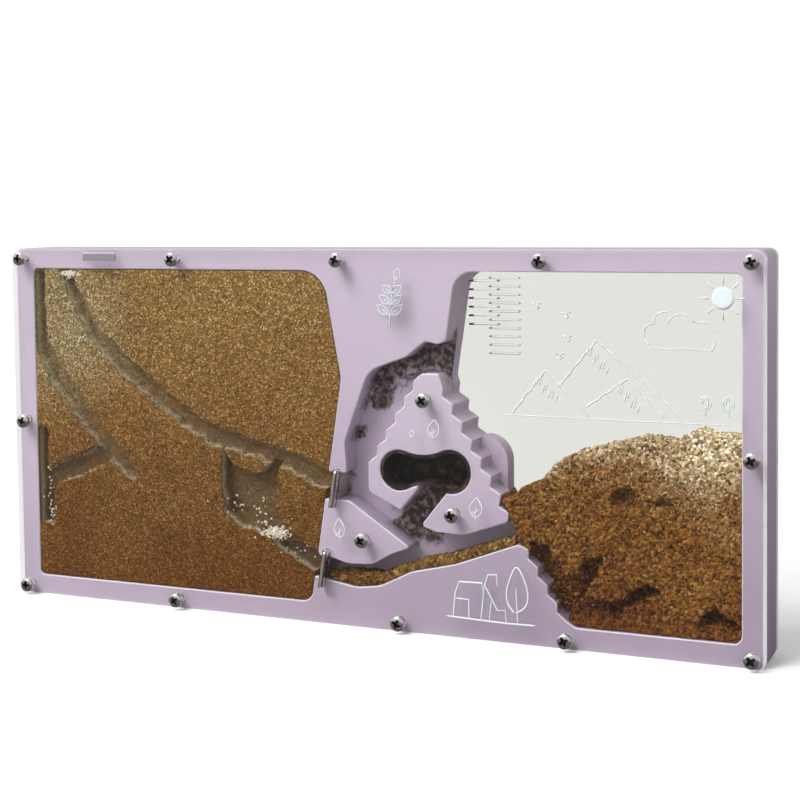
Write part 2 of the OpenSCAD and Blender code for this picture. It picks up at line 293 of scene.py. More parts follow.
def make_object(name: str, verts: Array, faces: Sequence[Sequence[int]],
                crease: float | None = 32.0) -> Piece:
    """Links a mesh object built from millimetre points.

    Args:
        name: name of the piece.
        verts: array of shape (n, 3), in millimetres.
        faces: corner numbers of each face.
        crease: angle in degrees above which an edge stays sharp, None for flat shading.

    Returns:
        The new object.
    """
    mesh = bpy.data.meshes.new(name)
    mesh.from_pydata((np.asarray(verts, float) * MM).tolist(), [], [list(f) for f in faces])
    mesh.validate()
    if crease is not None:
        mesh.shade_smooth()
        mesh.set_sharp_from_angle(angle=math.radians(crease))
    obj = bpy.data.objects.new(name, mesh)
    bpy.context.scene.collection.objects.link(obj)
    return obj


def mount(piece: Piece, node: str | None = None) -> None:
    """Fixes a piece to the housing.

    Args:
        piece: the piece.
        node: CAD node that it stands for, if any.
    """
    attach(piece, "housing")
    if node:
        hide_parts(node)


# ---- layered plates


@dataclass
class Layer:
    """One slice of a plate between two depths, with the loops that fill it and cut it."""

    y0: float
    y1: float
    solid: tuple[str, ...]
    cut: tuple[str, ...] = ()


@dataclass
class LayeredPlate:
    """Closed mesh of a flat piece whose outline changes from layer to layer.

    Every loop goes into one triangulation, so that caps, floors and walls share their points.
    """

    loops: Loops
    layers: list[Layer]
    front_bevel: float = 0.35
    back_bevel: float = 0.35
    sharp: tuple[str, ...] = ()    # loops whose edges stay sharp
    sawn: tuple[str, ...] = ()     # loops whose walls take the second finish

    def build(self, name: str) -> Piece:
        """Builds the plate as one object.

        Args:
            name: name of the piece.

        Returns:
            The new object.
        """
        points: list[Vector] = []
        edges: list[tuple[int, int]] = []
        member: list[str] = []
        for key, loop in self.loops.items():
            n, k = len(points), len(loop)
            points += [Vector(p) for p in loop]
            edges += [(n + i, n + (i + 1) % k) for i in range(k)]
            member += [key] * k
        out = delaunay_2d_cdt(points, edges, [], 0, 1e-4)
        fixed, sawn = (np.array([any(member[i] in keys for i in source) for source in out[3]])
                       for keys in (self.sharp, self.sawn))
        flat = np.array([tuple(v) for v in out[0]])
        tris = [tuple(f) for f in out[2]]
        centre = flat[np.array(tris)].mean(axis=1)
        masks = {key: inside(centre, loop) for key, loop in self.loops.items()}
        slices = self._slices()
        flags = []
        for layer in slices:
            solid = np.zeros(len(tris), bool)
            for key in layer.solid:
                solid |= masks[key]
            for key in layer.cut:
                solid &= ~masks[key]
            flags.append(solid)
        levels = [slices[0].y0] + [s.y1 for s in slices]
        places = [flat.copy() for _ in levels]
        for end, bevel in ((0, self.front_bevel), (-1, self.back_bevel)):
            if bevel > 0:
                move = self._inset(flat, tris, flags[end], bevel)
                places[end] += np.where(fixed[:, None], 0, move)
        return self._assemble(name, levels, places, tris, flags, sawn)

    def _slices(self) -> list[Layer]:
        """The layers, with thin ones added at the two faces for the bevels.

        Returns:
            The layers from front to back.
        """
        slices = list(self.layers)
        if self.front_bevel > 0:
            s = slices[0]
            slices[0:1] = [Layer(s.y0, s.y0 + self.front_bevel, s.solid, s.cut),
                           Layer(s.y0 + self.front_bevel, s.y1, s.solid, s.cut)]
        if self.back_bevel > 0:
            s = slices[-1]
            slices[-1:] = [Layer(s.y0, s.y1 - self.back_bevel, s.solid, s.cut),
                           Layer(s.y1 - self.back_bevel, s.y1, s.solid, s.cut)]
        return slices

    @staticmethod
    def _border(tris: Faces, solid: Array) -> list[tuple[int, int]]:
        """Directed edges with the solid on their left and nothing on their right.

        Args:
            tris: triangles of the plate's plane.
            solid: which of them are filled.

        Returns:
            The edges.
        """
        filled = {}
        for t, tri in enumerate(tris):
            if solid[t]:
                for i in range(3):
                    filled[(tri[i], tri[(i + 1) % 3])] = t
        return [e for e in filled if (e[1], e[0]) not in filled]

    def _inset(self, flat: Array, tris: Faces, solid: Array, by: float) -> Array:
        """Move that takes each border point into the material, for a bevel.

        Args:
            flat: points of the plate's plane.
            tris: its triangles.
            solid: which of them are filled.
            by: width of the bevel.

        Returns:
            One move for each point.
        """
        move = np.zeros_like(flat)
        normals: dict[int, list[Array]] = {}
        for a, b in self._border(tris, solid):
            d = flat[b] - flat[a]
            n = np.array([-d[1], d[0]]) / max(float(np.linalg.norm(d)), 1e-9)
            normals.setdefault(a, []).append(n)
            normals.setdefault(b, []).append(n)
        for v, ns in normals.items():
            if len(ns) == 2:
                move[v] = (ns[0] + ns[1]) * by / max(1 + float(ns[0] @ ns[1]), 0.35)
        return move

    def _assemble(self, name: str, levels: list[float], places: list[Array],
                  tris: Faces, flags: list[Array],
                  sawn: Array) -> Piece:
        """Joins caps, floors and walls into one closed mesh.

        Args:
            name: name of the piece.
            levels: depth of each level.
            places: points of the plane at each level.
            tris: triangles of the plane.
            flags: which triangles each slice fills.
            sawn: which points are on a sawn loop.

        Returns:
            The new object.
        """
        n = len(places[0])
        faces: Faces = []
        walls: list[int] = []
        for k, solid in enumerate(flags):
            before = flags[k - 1] if k else np.zeros_like(solid)
            after = flags[k + 1] if k + 1 < len(flags) else np.zeros_like(solid)
            a, b = k * n, (k + 1) * n
            for t in np.flatnonzero(solid & ~before):
                faces.append(tuple(v + a for v in tris[t]))
            for t in np.flatnonzero(solid & ~after):
                faces.append(tuple(v + b for v in reversed(tris[t])))
            for p, q in self._border(tris, solid):
                if sawn[p] and sawn[q]:
                    walls.append(len(faces))
                faces.append((p + a, p + b, q + b, q + a))
        verts = np.vstack([np.column_stack([p[:, 0], np.full(n, y), p[:, 1]])
                           for p, y in zip(places, levels)])
        used = np.unique(np.concatenate([np.array(f) for f in faces]))
        index = np.full(len(verts), -1)
        index[used] = np.arange(len(used))
        made = make_object(name, verts[used], [index[list(f)] for f in faces])
        for i in walls:
            made.data.polygons[i].material_index = 1
        return made


# ---- finishes


def srgb(hex_code: str) -> tuple[float, float, float, float]:
    """Linear colour of an sRGB hex value.

    Args:
        hex_code: colour as "#rrggbb".

    Returns:
        Red, green, blue and a full alpha.
    """
    out = []
    for i in (0, 2, 4):
        c = int(hex_code.lstrip("#")[i:i + 2], 16) / 255
        out.append(c / 12.92 if c <= 0.04045 else ((c + 0.055) / 1.055) ** 2.4)
    return out[0], out[1], out[2], 1.0


def add_node(tree: Tree, kind: str, inputs: dict | None = None,
             **settings: object) -> bpy.types.Node:
    """Adds a node with its settings and links.

    Args:
        tree: node tree of the material.
        kind: type of the node, without the ShaderNode that all types start with.
        inputs: by input name or number, a value, a source socket or a node's first output.
        settings: properties of the node; stops holds a colour ramp's (place, hex) pairs.

    Returns:
        The new node.
    """
    node = tree.nodes.new(f"ShaderNode{kind}")
    for key, value in settings.items():
        if key == "stops":
            ramp = node.color_ramp
            while len(ramp.elements) < len(value):
                ramp.elements.new(0.5)
            for element, (at, colour) in zip(ramp.elements, value):
                element.position, element.color = at, srgb(colour)
        else:
            setattr(node, key, value)
    for key, value in (inputs or {}).items():
        if isinstance(value, bpy.types.Node):
            value = value.outputs[0]
        if isinstance(value, Socket):
            tree.links.new(value, node.inputs[key])
        else:
            node.inputs[key].default_value = value
    return node


class Finish:
    """A material made of nodes, with one principled shader and an output."""

    name = "finish"

    def material(self) -> bpy.types.Material:
        """The material, made on first use and shared after that.

        Returns:
            The material.
        """
        found = bpy.data.materials.get(self.name)
        if found:
            return found
        made = bpy.data.materials.new(self.name)
        made.use_nodes = True
        tree = made.node_tree
        tree.nodes.clear()
        surface = self.surface(tree)
        add_node(tree, "OutputMaterial", {"Surface": surface})
        return made

    def surface(self, tree: Tree) -> Socket:
        """Shader socket that goes to the output."""
        raise NotImplementedError

    def dress(self, *pieces: Piece) -> None:
        """Gives each piece this finish alone."""
        for piece in pieces:
            if piece.data.materials:
                piece.data.materials.clear()
            piece.data.materials.append(self.material())

    def add_to(self, *pieces: Piece) -> None:
        """Adds this finish for the faces that are marked for a second one."""
        for piece in pieces:
            piece.data.materials.append(self.material())


def place(tree: Tree) -> Socket:
    """Object coordinates, which are metres of the part's frame."""
    return add_node(tree, "TexCoord").outputs["Object"]


def wave_scale(radian: float) -> float:
    """Scale of a wave texture that takes this many mm along an axis for one radian."""
    return 1000.0 / radian / 20.0


def mirrored(tree: Tree) -> Socket:
    """1 for what the camera sees by way of a reflection, 0 for all else.

    Args:
        tree: node tree that the factor is for.

    Returns:
        The factor's socket.
    """
    add = partial(add_node, tree)
    rays = add("LightPath")
    scattered = add("Math", {0: rays.outputs["Diffuse Depth"], 1: 9.0}, operation="MULTIPLY")
    return add("Math", {0: rays.outputs["Glossy Depth"], 1: scattered}, operation="SUBTRACT",
               use_clamp=True).outputs[0]


@dataclass(frozen=True)
class ClearAcrylic(Finish):
    """Cast acrylic sheet, laser cut: clear and glossy, so its edges light up and bend the view."""

    name: str = "clear_acrylic"
    tint: str = "#fbfbf8"
    ior: float = 1.49
    dull: float = 0.012            # roughness of the dullest places

    def surface(self, tree: Tree) -> Socket:
        """Glass that lets light through to what lies behind it."""
        add = partial(add_node, tree)
        haze = add("TexNoise", {"Vector": place(tree), "Scale": 90.0, "Detail": 2.0})
        gloss = add("MapRange", {
            "Value": haze, "From Min": 0.35, "From Max": 0.75, "To Max": self.dull})
        glass = add("BsdfPrincipled", {
            "Base Color": srgb(self.tint), "Transmission Weight": 1.0, "IOR": self.ior,
            "Roughness": gloss})
        clear = add("BsdfTransparent", {"Color": srgb("#f6f8f8")})
        rays = add("LightPath")
        return add("MixShader", {0: rays.outputs["Is Shadow Ray"], 1: glass, 2: clear}).outputs[0]


@dataclass(frozen=True)
class MilledAcrylic(Finish):
    """Opaque lilac acrylic, milled from sheet: satin faces, fine cutter lines on the walls.

    The corridor floors carry dark smears of damp earth that the colony has walked in.
    """

    name: str = "milled_lilac_acrylic"
    face: str = "#bcaec2"
    foot: str = "#96869a"          # painted shade: darker towards the foot and further up on the right, where less light reaches
    bevel: str = "#f2ebf4"         # painted highlight: every bevel face is painted paler, as if it caught the light
    highlight_share: float = 0.4
    smear: str = "#2e2220"
    smear_pale: str = "#8d7a78"
    foot_slant: float = -0.28      # the painted shade at the foot reaches higher on the right
    foot_span: tuple[float, float] = (-0.018, 0.105)    # metres of height where it fades
    smear_span: tuple[float, float] = (-0.0045, 0.0022)     # metres of y from clean to smeared
    cutter_radian: float = 0.9     # mm for one radian of the cutter lines, so 5.7 mm between two
    smears: tuple[Knot, ...] = ((7, 95, 15), (14, 99, 15), (21, 101, 16), (28, 103, 17),
                                (34, 101, 15), (38, 94, 8), (2, 91, 9), (6, 84, 7),
                                (-1, 82, 5), (-3, 71, 5), (29, 50, 13), (25, 45, 13),
                                (20, 39, 13), (26, 36, 9), (15, 37, 8), (-11, 52, 9),
                                (-12, 24, 6))

    def surface(self, tree: Tree) -> Socket:
        """Satin plastic with painted shade towards the foot, painted highlights on the bevels,
        smears on the floors and cutter lines.
        """
        add = partial(add_node, tree)
        at = place(tree)
        axes = add("SeparateXYZ", {0: at})
        cloud = add("TexNoise", {"Vector": at, "Scale": 14.0, "Detail": 4.0, "Roughness": 0.6})
        # painted shade: the face colour turns to the darker foot colour low down and to the right
        slant = add("Math", {
            0: axes.outputs[0], 1: self.foot_slant, 2: axes.outputs[2]}, operation="MULTIPLY_ADD")
        low, high = self.foot_span
        height = add("MapRange", {"Value": slant, "From Min": low, "From Max": high})
        drift = add("MapRange", {"Value": cloud, "To Min": -0.2, "To Max": 0.2})
        blend = add("Math", {0: height, 1: drift}, operation="ADD", use_clamp=True)
        plain = add("MixRGB", {0: blend, 1: srgb(self.foot), 2: srgb(self.face)})
        stain = self._smear_mask(tree, at, axes)
        fleck = add("TexNoise", {"Vector": at, "Scale": 520.0, "Detail": 3.0, "Roughness": 0.65})
        dry = add("MapRange", {"Value": fleck, "From Min": 0.46, "From Max": 0.66})
        dirt = add("MixRGB", {0: dry, 1: srgb(self.smear), 2: srgb(self.smear_pale)})
        colour = add("MixRGB", {0: stain, 1: plain, 2: dirt})
        # painted highlight: faces that lean like a bevel are painted paler
        flat = add("SeparateXYZ", {0: add("NewGeometry").outputs["True Normal"]})
        lean = add("Math", {0: flat.outputs[1]}, operation="ABSOLUTE")
        on_bevel = add("Math", {0: lean, 1: 0.7, 2: 0.2}, operation="COMPARE")
        bevel = add("Math", {0: on_bevel, 1: self.highlight_share}, operation="MULTIPLY")
        colour = add("MixRGB", {0: bevel, 1: colour, 2: srgb(self.bevel)})
        lines = add("TexWave", {
            "Vector": at, "Scale": wave_scale(self.cutter_radian), "Distortion": 0.6,
            "Detail": 2.0}, bands_direction="Y")
        grain = add("TexNoise", {"Vector": at, "Scale": 2600.0, "Detail": 2.0})
        facing = add("SeparateXYZ", {0: add("NewGeometry").outputs["Normal"]})
        wall = add("Math", {0: facing.outputs[1]}, operation="ABSOLUTE")
        amount = add("MapRange", {"Value": wall, "To Min": 0.5, "To Max": 0.0})
        relief = add("Math", {0: lines, 1: amount, 2: grain}, operation="MULTIPLY_ADD")
        bump = add("Bump", {"Height": relief, "Distance": 0.00004, "Strength": 0.5})
        gloss = add("MapRange", {"Value": cloud, "To Min": 0.36, "To Max": 0.52})
        return add("BsdfPrincipled", {
            "Base Color": colour, "Roughness": gloss, "IOR": 1.49, "Normal": bump}).outputs[0]

    def _smear_mask(self, tree: Tree, at: Socket, axes: bpy.types.Node) -> Socket:
        """Where the floors are smeared, from 0 to 1.

        Args:
            tree: node tree of the material.
            at: object coordinates.
            axes: the same, one by one.

        Returns:
            The mask's socket.
        """
        add = partial(add_node, tree)
        flat = add("CombineXYZ", {0: axes.outputs[0], 2: axes.outputs[2]}).outputs[0]
        total: Socket | None = None
        for x, z, r in self.smears:
            far = add("VectorMath", {0: flat, 1: (x * MM, 0.0, z * MM)}, operation="DISTANCE")
            near = add("MapRange", {
                "Value": far.outputs["Value"], "From Min": 0.0, "From Max": r * MM,
                "To Min": 1.0, "To Max": 0.0}).outputs[0]
            total = near if total is None else add("Math", {
                0: total, 1: near}, operation="MAXIMUM").outputs[0]
        rough = add("TexNoise", {
            "Vector": at, "Scale": 150.0, "Detail": 6.0, "Roughness": 0.7, "Distortion": 0.8})
        patchy = add("Math", {0: rough, 1: 2.0, 2: total}, operation="MULTIPLY_ADD")
        edge = add("MapRange", {"Value": patchy, "From Min": 1.25, "From Max": 1.55})
        low, high = self.smear_span
        deep = add("MapRange", {"Value": axes.outputs[1], "From Min": low, "From Max": high})
        ahead = add("Math", {0: axes.outputs[1], 1: (Y_FLOOR + 1.0) * MM}, operation="LESS_THAN")
        floor = add("Math", {0: deep, 1: ahead}, operation="MULTIPLY")
        return add("Math", {0: edge, 1: floor}, operation="MULTIPLY").outputs[0]


@dataclass(frozen=True)
class Sand(Finish):
    """Damp quartz sand: amber grains with pale and dark ones among them, faintly glossy.

    Attributes:
        grain: grain size in mm, drawn a little coarser than the real one so that it shows.
        stops: grain colours from the darkest to the palest.
        damp: tints from the foot to the dry top.
        foot, top: height in mm where drying starts, and how far above it the sand is dry.
        drift: metres by which that height wanders.
        haze: pale colour painted into shallow galleries, a painted sheen.
        haze_share: how much of that colour shows.
        haze_in, haze_out: mm of depth over which the painted sheen comes in, and thins out again.
        dug: painted shade by depth, from the surface to deepest.
        deepest: mm of depth where those tints end.
        dry_spots: patches bleached by dryness, each as (x, z, radius).
        fray: metres by which the edge of such a patch wanders.
        bleach: linear tint of those patches, above 1 where dry sand is paler than damp sand.
    """

    name: str = "damp_quartz_sand"
    grain: float = 0.52
    stops: Stops = (
        (0.0, "#4f3a1c"), (0.22, "#7e6032"), (0.55, "#927445"), (0.86, "#ab9059"), (1.0, "#dccb9f"))
    damp: Stops = (
        (0.0, "#a37836"), (0.18, "#ad874c"), (0.6, "#d1b898"), (1.0, "#ece0cf"))
    foot: float = 45.0
    top: float = 130.0
    drift: float = 0.09
    # pale tint of the painted sheen in shallow galleries
    haze: str = "#bcb49c"
    haze_share: float = 0.58
    haze_in: tuple[float, float] = (0.1, 1.6)
    haze_out: tuple[float, float] = (2.2, 4.2)
    # painted shade: the deeper a hollow is dug, the darker its sand
    dug: Stops = ((0.25, "#ffffff"), (0.5, "#d4c7b6"), (0.85, "#d0c2b0"))
    deepest: float = 8.0
    dry_spots: tuple[Knot, ...] = ((-128.0, 112.0, 42.0),)
    fray: float = 0.03
    bleach: tuple[float, float, float] = (0.89, 0.99, 1.27)

    def surface(self, tree: Tree) -> Socket:
        """Grains from a cell pattern, damper towards the foot, with painted sheen in shallow
        galleries and painted shade in the hollows.
        """
        add = partial(add_node, tree)
        at = place(tree)
        axes = add("SeparateXYZ", {0: at})
        cells = add("TexVoronoi", {"Vector": at, "Scale": 1000.0 / self.grain, "Randomness": 1.0})
        tone = add("SeparateColor", {0: cells.outputs["Color"]})
        grains = add("ValToRGB", {0: tone.outputs[0]}, stops=self.stops)
        patch = add("TexNoise", {"Vector": at, "Scale": 26.0, "Detail": 5.0, "Roughness": 0.6})
        height = add("Math", {
            0: patch, 1: self.drift, 2: axes.outputs[2]}, operation="MULTIPLY_ADD")
        level = add("MapRange", {
            "Value": height, "From Min": self.foot * MM, "From Max": (self.foot + self.top) * MM})
        tint = add("ValToRGB", {0: level}, stops=self.damp)
        dry: float | Socket = 0.0
        for x, z, radius in self.dry_spots:
            far = add("VectorMath", {0: at, 1: (x * MM, 0.0, z * MM)}, operation="DISTANCE")
            ragged = add("Math", {
                0: patch, 1: -self.fray, 2: far.outputs["Value"]}, operation="MULTIPLY_ADD")
            near = add("MapRange", {
                "Value": ragged, "From Min": radius * 0.3 * MM - self.fray / 2,
                "From Max": radius * MM - self.fray / 2, "To Min": 1.0, "To Max": 0.0})
            dry = add("Math", {0: dry, 1: near}, operation="MAXIMUM").outputs[0]
        tint = add("MixRGB", {0: dry, 1: tint, 2: (*self.bleach, 1.0)})
        colour = add("MixRGB", {0: 1.0, 1: grains, 2: tint}, blend_type="MULTIPLY")
        depth = add("Attribute", attribute_name="dug").outputs["Fac"]
        # painted sheen: a pale tint over the shallow galleries, fading again where they deepen
        shallow = add("MapRange", {
            "Value": depth, "From Min": self.haze_out[0], "From Max": self.haze_out[1],
            "To Min": self.haze_share, "To Max": self.haze_share * 0.4})
        painted_sheen = add("MapRange", {
            "Value": depth, "From Min": self.haze_in[0], "From Max": self.haze_in[1],
            "To Max": shallow})
        colour = add("MixRGB", {0: painted_sheen, 1: colour, 2: srgb(self.haze)})
        # painted shade: the colour darkens by how deep the sand is dug
        share = add("Math", {0: depth, 1: 1 / self.deepest}, operation="MULTIPLY")
        deep = add("ValToRGB", {0: share}, stops=self.dug)
        colour = add("MixRGB", {0: 1.0, 1: colour, 2: deep}, blend_type="MULTIPLY")
        bump = add("Bump", {
            "Height": cells.outputs["Distance"], "Distance": self.grain * MM * 0.6,
            "Strength": 0.9}, invert=True)
        gloss = add("MapRange", {"Value": tone.outputs[1], "To Min": 0.35, "To Max": 0.85})
        return add("BsdfPrincipled", {
            "Base Color": colour, "Roughness": gloss, "IOR": 1.46,
            "Specular IOR Level": 0.12, "Normal": bump}).outputs[0]


@dataclass(frozen=True)
class QuartzChip(Finish):
    """White quartz grit: translucent chips that catch the light."""

    name: str = "quartz_grit"
    colour: str = "#f1ece2"

    def surface(self, tree: Tree) -> Socket:
        """Pale chips with a little colour in each."""
        add = partial(add_node, tree)
        at = place(tree)
        tone = add("TexNoise", {"Vector": at, "Scale": 700.0})
        colour = add("MixRGB", {0: tone.outputs[0], 1: srgb(self.colour), 2: srgb("#cdbf9f")})
        return add("BsdfPrincipled", {
            "Base Color": colour, "Roughness": 0.25, "IOR": 1.54}).outputs[0]


@dataclass(frozen=True)
class SootyGypsum(Finish):
    """Cast gypsum stained near black with damp earth: matt, mottled, with rare pale flecks."""

    name: str = "stained_gypsum"

    def surface(self, tree: Tree) -> Socket:
        """Dark mottling with a light bump."""
        add = partial(add_node, tree)
        at = place(tree)
        cloud = add("TexNoise", {"Vector": at, "Scale": 230.0, "Detail": 6.0, "Roughness": 0.68})
        colour = add("ValToRGB", {0: cloud}, stops=(
            (0.3, "#1b1413"), (0.5, "#2e2421"), (0.62, "#4b3d39"), (0.75, "#6f5f58")))
        bump = add("Bump", {"Height": cloud, "Distance": 0.0004, "Strength": 0.6})
        return add("BsdfPrincipled", {
            "Base Color": colour, "Roughness": 0.62, "Specular IOR Level": 0.1,
            "Normal": bump}).outputs[0]


@dataclass(frozen=True)
class PlatedSteel(Finish):
    """Steel hardware, cold headed or punched and plated: bright, with fine wear marks.

    Attributes:
        colour: reflection colour at normal view.
        roughness: from mirror plate near 0.1 to zinc near 0.4.
        line_scale: turns of fine lines for each metre, along x.
    """

    name: str = "plated_steel"
    colour: str = "#dedcd9"
    roughness: float = 0.16
    line_scale: float = 900.0

    def surface(self, tree: Tree) -> Socket:
        """Metal with a little change of gloss from place to place."""
        add = partial(add_node, tree)
        at = place(tree)
        stretch = add("Mapping", {"Vector": at, "Scale": (1.0, 0.08, 1.0)})
        wear = add("TexNoise", {"Vector": stretch, "Scale": self.line_scale, "Detail": 3.0})
        gloss = add("MapRange", {
            "Value": wear, "To Min": self.roughness * 0.6, "To Max": self.roughness * 1.6})
        bump = add("Bump", {"Height": wear, "Distance": 0.00001, "Strength": 0.25})
        return add("BsdfPrincipled", {
            "Base Color": srgb(self.colour), "Metallic": 1.0, "Roughness": gloss,
            "Normal": bump}).outputs[0]


@dataclass(frozen=True)
class EtchedGrey(Finish):
    """Grey anodised aluminium, blasted: dull and even, with a faint grain."""

    name: str = "blasted_grey_aluminium"
    colour: str = "#8a858b"

    def surface(self, tree: Tree) -> Socket:
        """Dull metal with fine grit marks."""
        add = partial(add_node, tree)
        grit = add("TexNoise", {"Vector": place(tree), "Scale": 3000.0, "Detail": 2.0})
        colour = add("MixRGB", {0: grit, 1: srgb(self.colour), 2: srgb("#a8a4aa")})
        bump = add("Bump", {"Height": grit, "Distance": 0.00003, "Strength": 0.4})
        return add("BsdfPrincipled", {
            "Base Color": colour, "Metallic": 0.3, "Roughness": 0.5, "Normal": bump}).outputs[0]


@dataclass(frozen=True)
class FrostedCut(Finish):
    """Laser-engraved acrylic: the melted line scatters light, so it reads white and soft."""

    name: str = "engraved_acrylic"
    colour: str = "#e6ecf0"
    shade: str = "#8b868e"         # flank of a groove that looks away from the lamp
    clear: float = 0.16

    def surface(self, tree: Tree) -> Socket:
        """White scatter, greyer on the lower flank of each groove."""
        add = partial(add_node, tree)
        at = place(tree)
        normal = add("NewGeometry").outputs["Normal"]
        facing = add("VectorMath", {0: normal, 1: (-0.55, 0.0, 0.83)}, operation="DOT_PRODUCT")
        lit = add("MapRange", {
            "Value": facing.outputs["Value"], "From Min": -0.55, "From Max": -0.05})
        colour = add("MixRGB", {0: lit, 1: srgb(self.shade), 2: srgb(self.colour)})
        pits = add("TexNoise", {"Vector": at, "Scale": 1500.0, "Detail": 2.0})
        bump = add("Bump", {"Height": pits, "Distance": 0.0001, "Strength": 0.7})
        white = add("BsdfPrincipled", {
            "Base Color": colour, "Roughness": 0.4, "IOR": 1.49, "Normal": bump})
        through = add("BsdfTransparent")
        return add("MixShader", {0: self.clear, 1: white, 2: through}).outputs[0]


@dataclass(frozen=True)
class SawnEdge(Finish):
    """Saw-cut acrylic edge: milky, it glows with the light that runs inside the sheet."""

    name: str = "sawn_acrylic"
    colour: str = "#f4f1f5"
    saw_radian: float = 0.7        # mm for one radian of the saw marks, so 4.4 mm between two
    glow: float = 0.5

    def surface(self, tree: Tree) -> Socket:
        """White scatter to both sides, with upright saw marks."""
        add = partial(add_node, tree)
        marks = add("TexWave", {
            "Vector": place(tree), "Distortion": 1.5,
            "Scale": 2 * wave_scale(self.saw_radian)}, bands_direction="DIAGONAL")
        bump = add("Bump", {"Height": marks, "Distance": 0.00003, "Strength": 0.5})
        skin = add("BsdfPrincipled", {
            "Base Color": srgb(self.colour), "Roughness": 0.55, "IOR": 1.49, "Normal": bump})
        inner = add("BsdfTranslucent", {"Color": srgb(self.colour), "Normal": bump})
        milky = add("MixShader", {0: self.glow, 1: skin, 2: inner})
        rays = add("LightPath")
        passed = add("BsdfTransparent", {"Color": srgb("#eeeeee")})
        return add("MixShader", {0: rays.outputs["Is Shadow Ray"], 1: milky, 2: passed}).outputs[0]


@dataclass(frozen=True)
class StudioPaper(Finish):
    """Matt paper sweep: plain and pale, with a trace of fibre, kept dull in reflections."""

    name: str = "studio_paper"
    colour: str = "#ffffff"
    mirrored: str = "#606060"
    shine: float = 0.12            # light through the paper, as the camera sees it

    def surface(self, tree: Tree) -> Socket:
        """Plain matt white."""
        add = partial(add_node, tree)
        fibre = add("TexNoise", {"Vector": place(tree), "Scale": 400.0})
        bump = add("Bump", {"Height": fibre, "Distance": 0.00002, "Strength": 0.2})
        rays = add("LightPath")
        colour = add("MixRGB", {0: mirrored(tree), 1: srgb(self.colour), 2: srgb(self.mirrored)})
        shine = add("Math", {0: rays.outputs["Is Camera Ray"], 1: self.shine},
                    operation="MULTIPLY")
        return add("BsdfPrincipled", {
            "Base Color": colour, "Roughness": 0.9, "Specular IOR Level": 0.1, "Normal": bump,
            "Emission Color": srgb(self.colour), "Emission Strength": shine}).outputs[0]


# ---- the slab's outlines


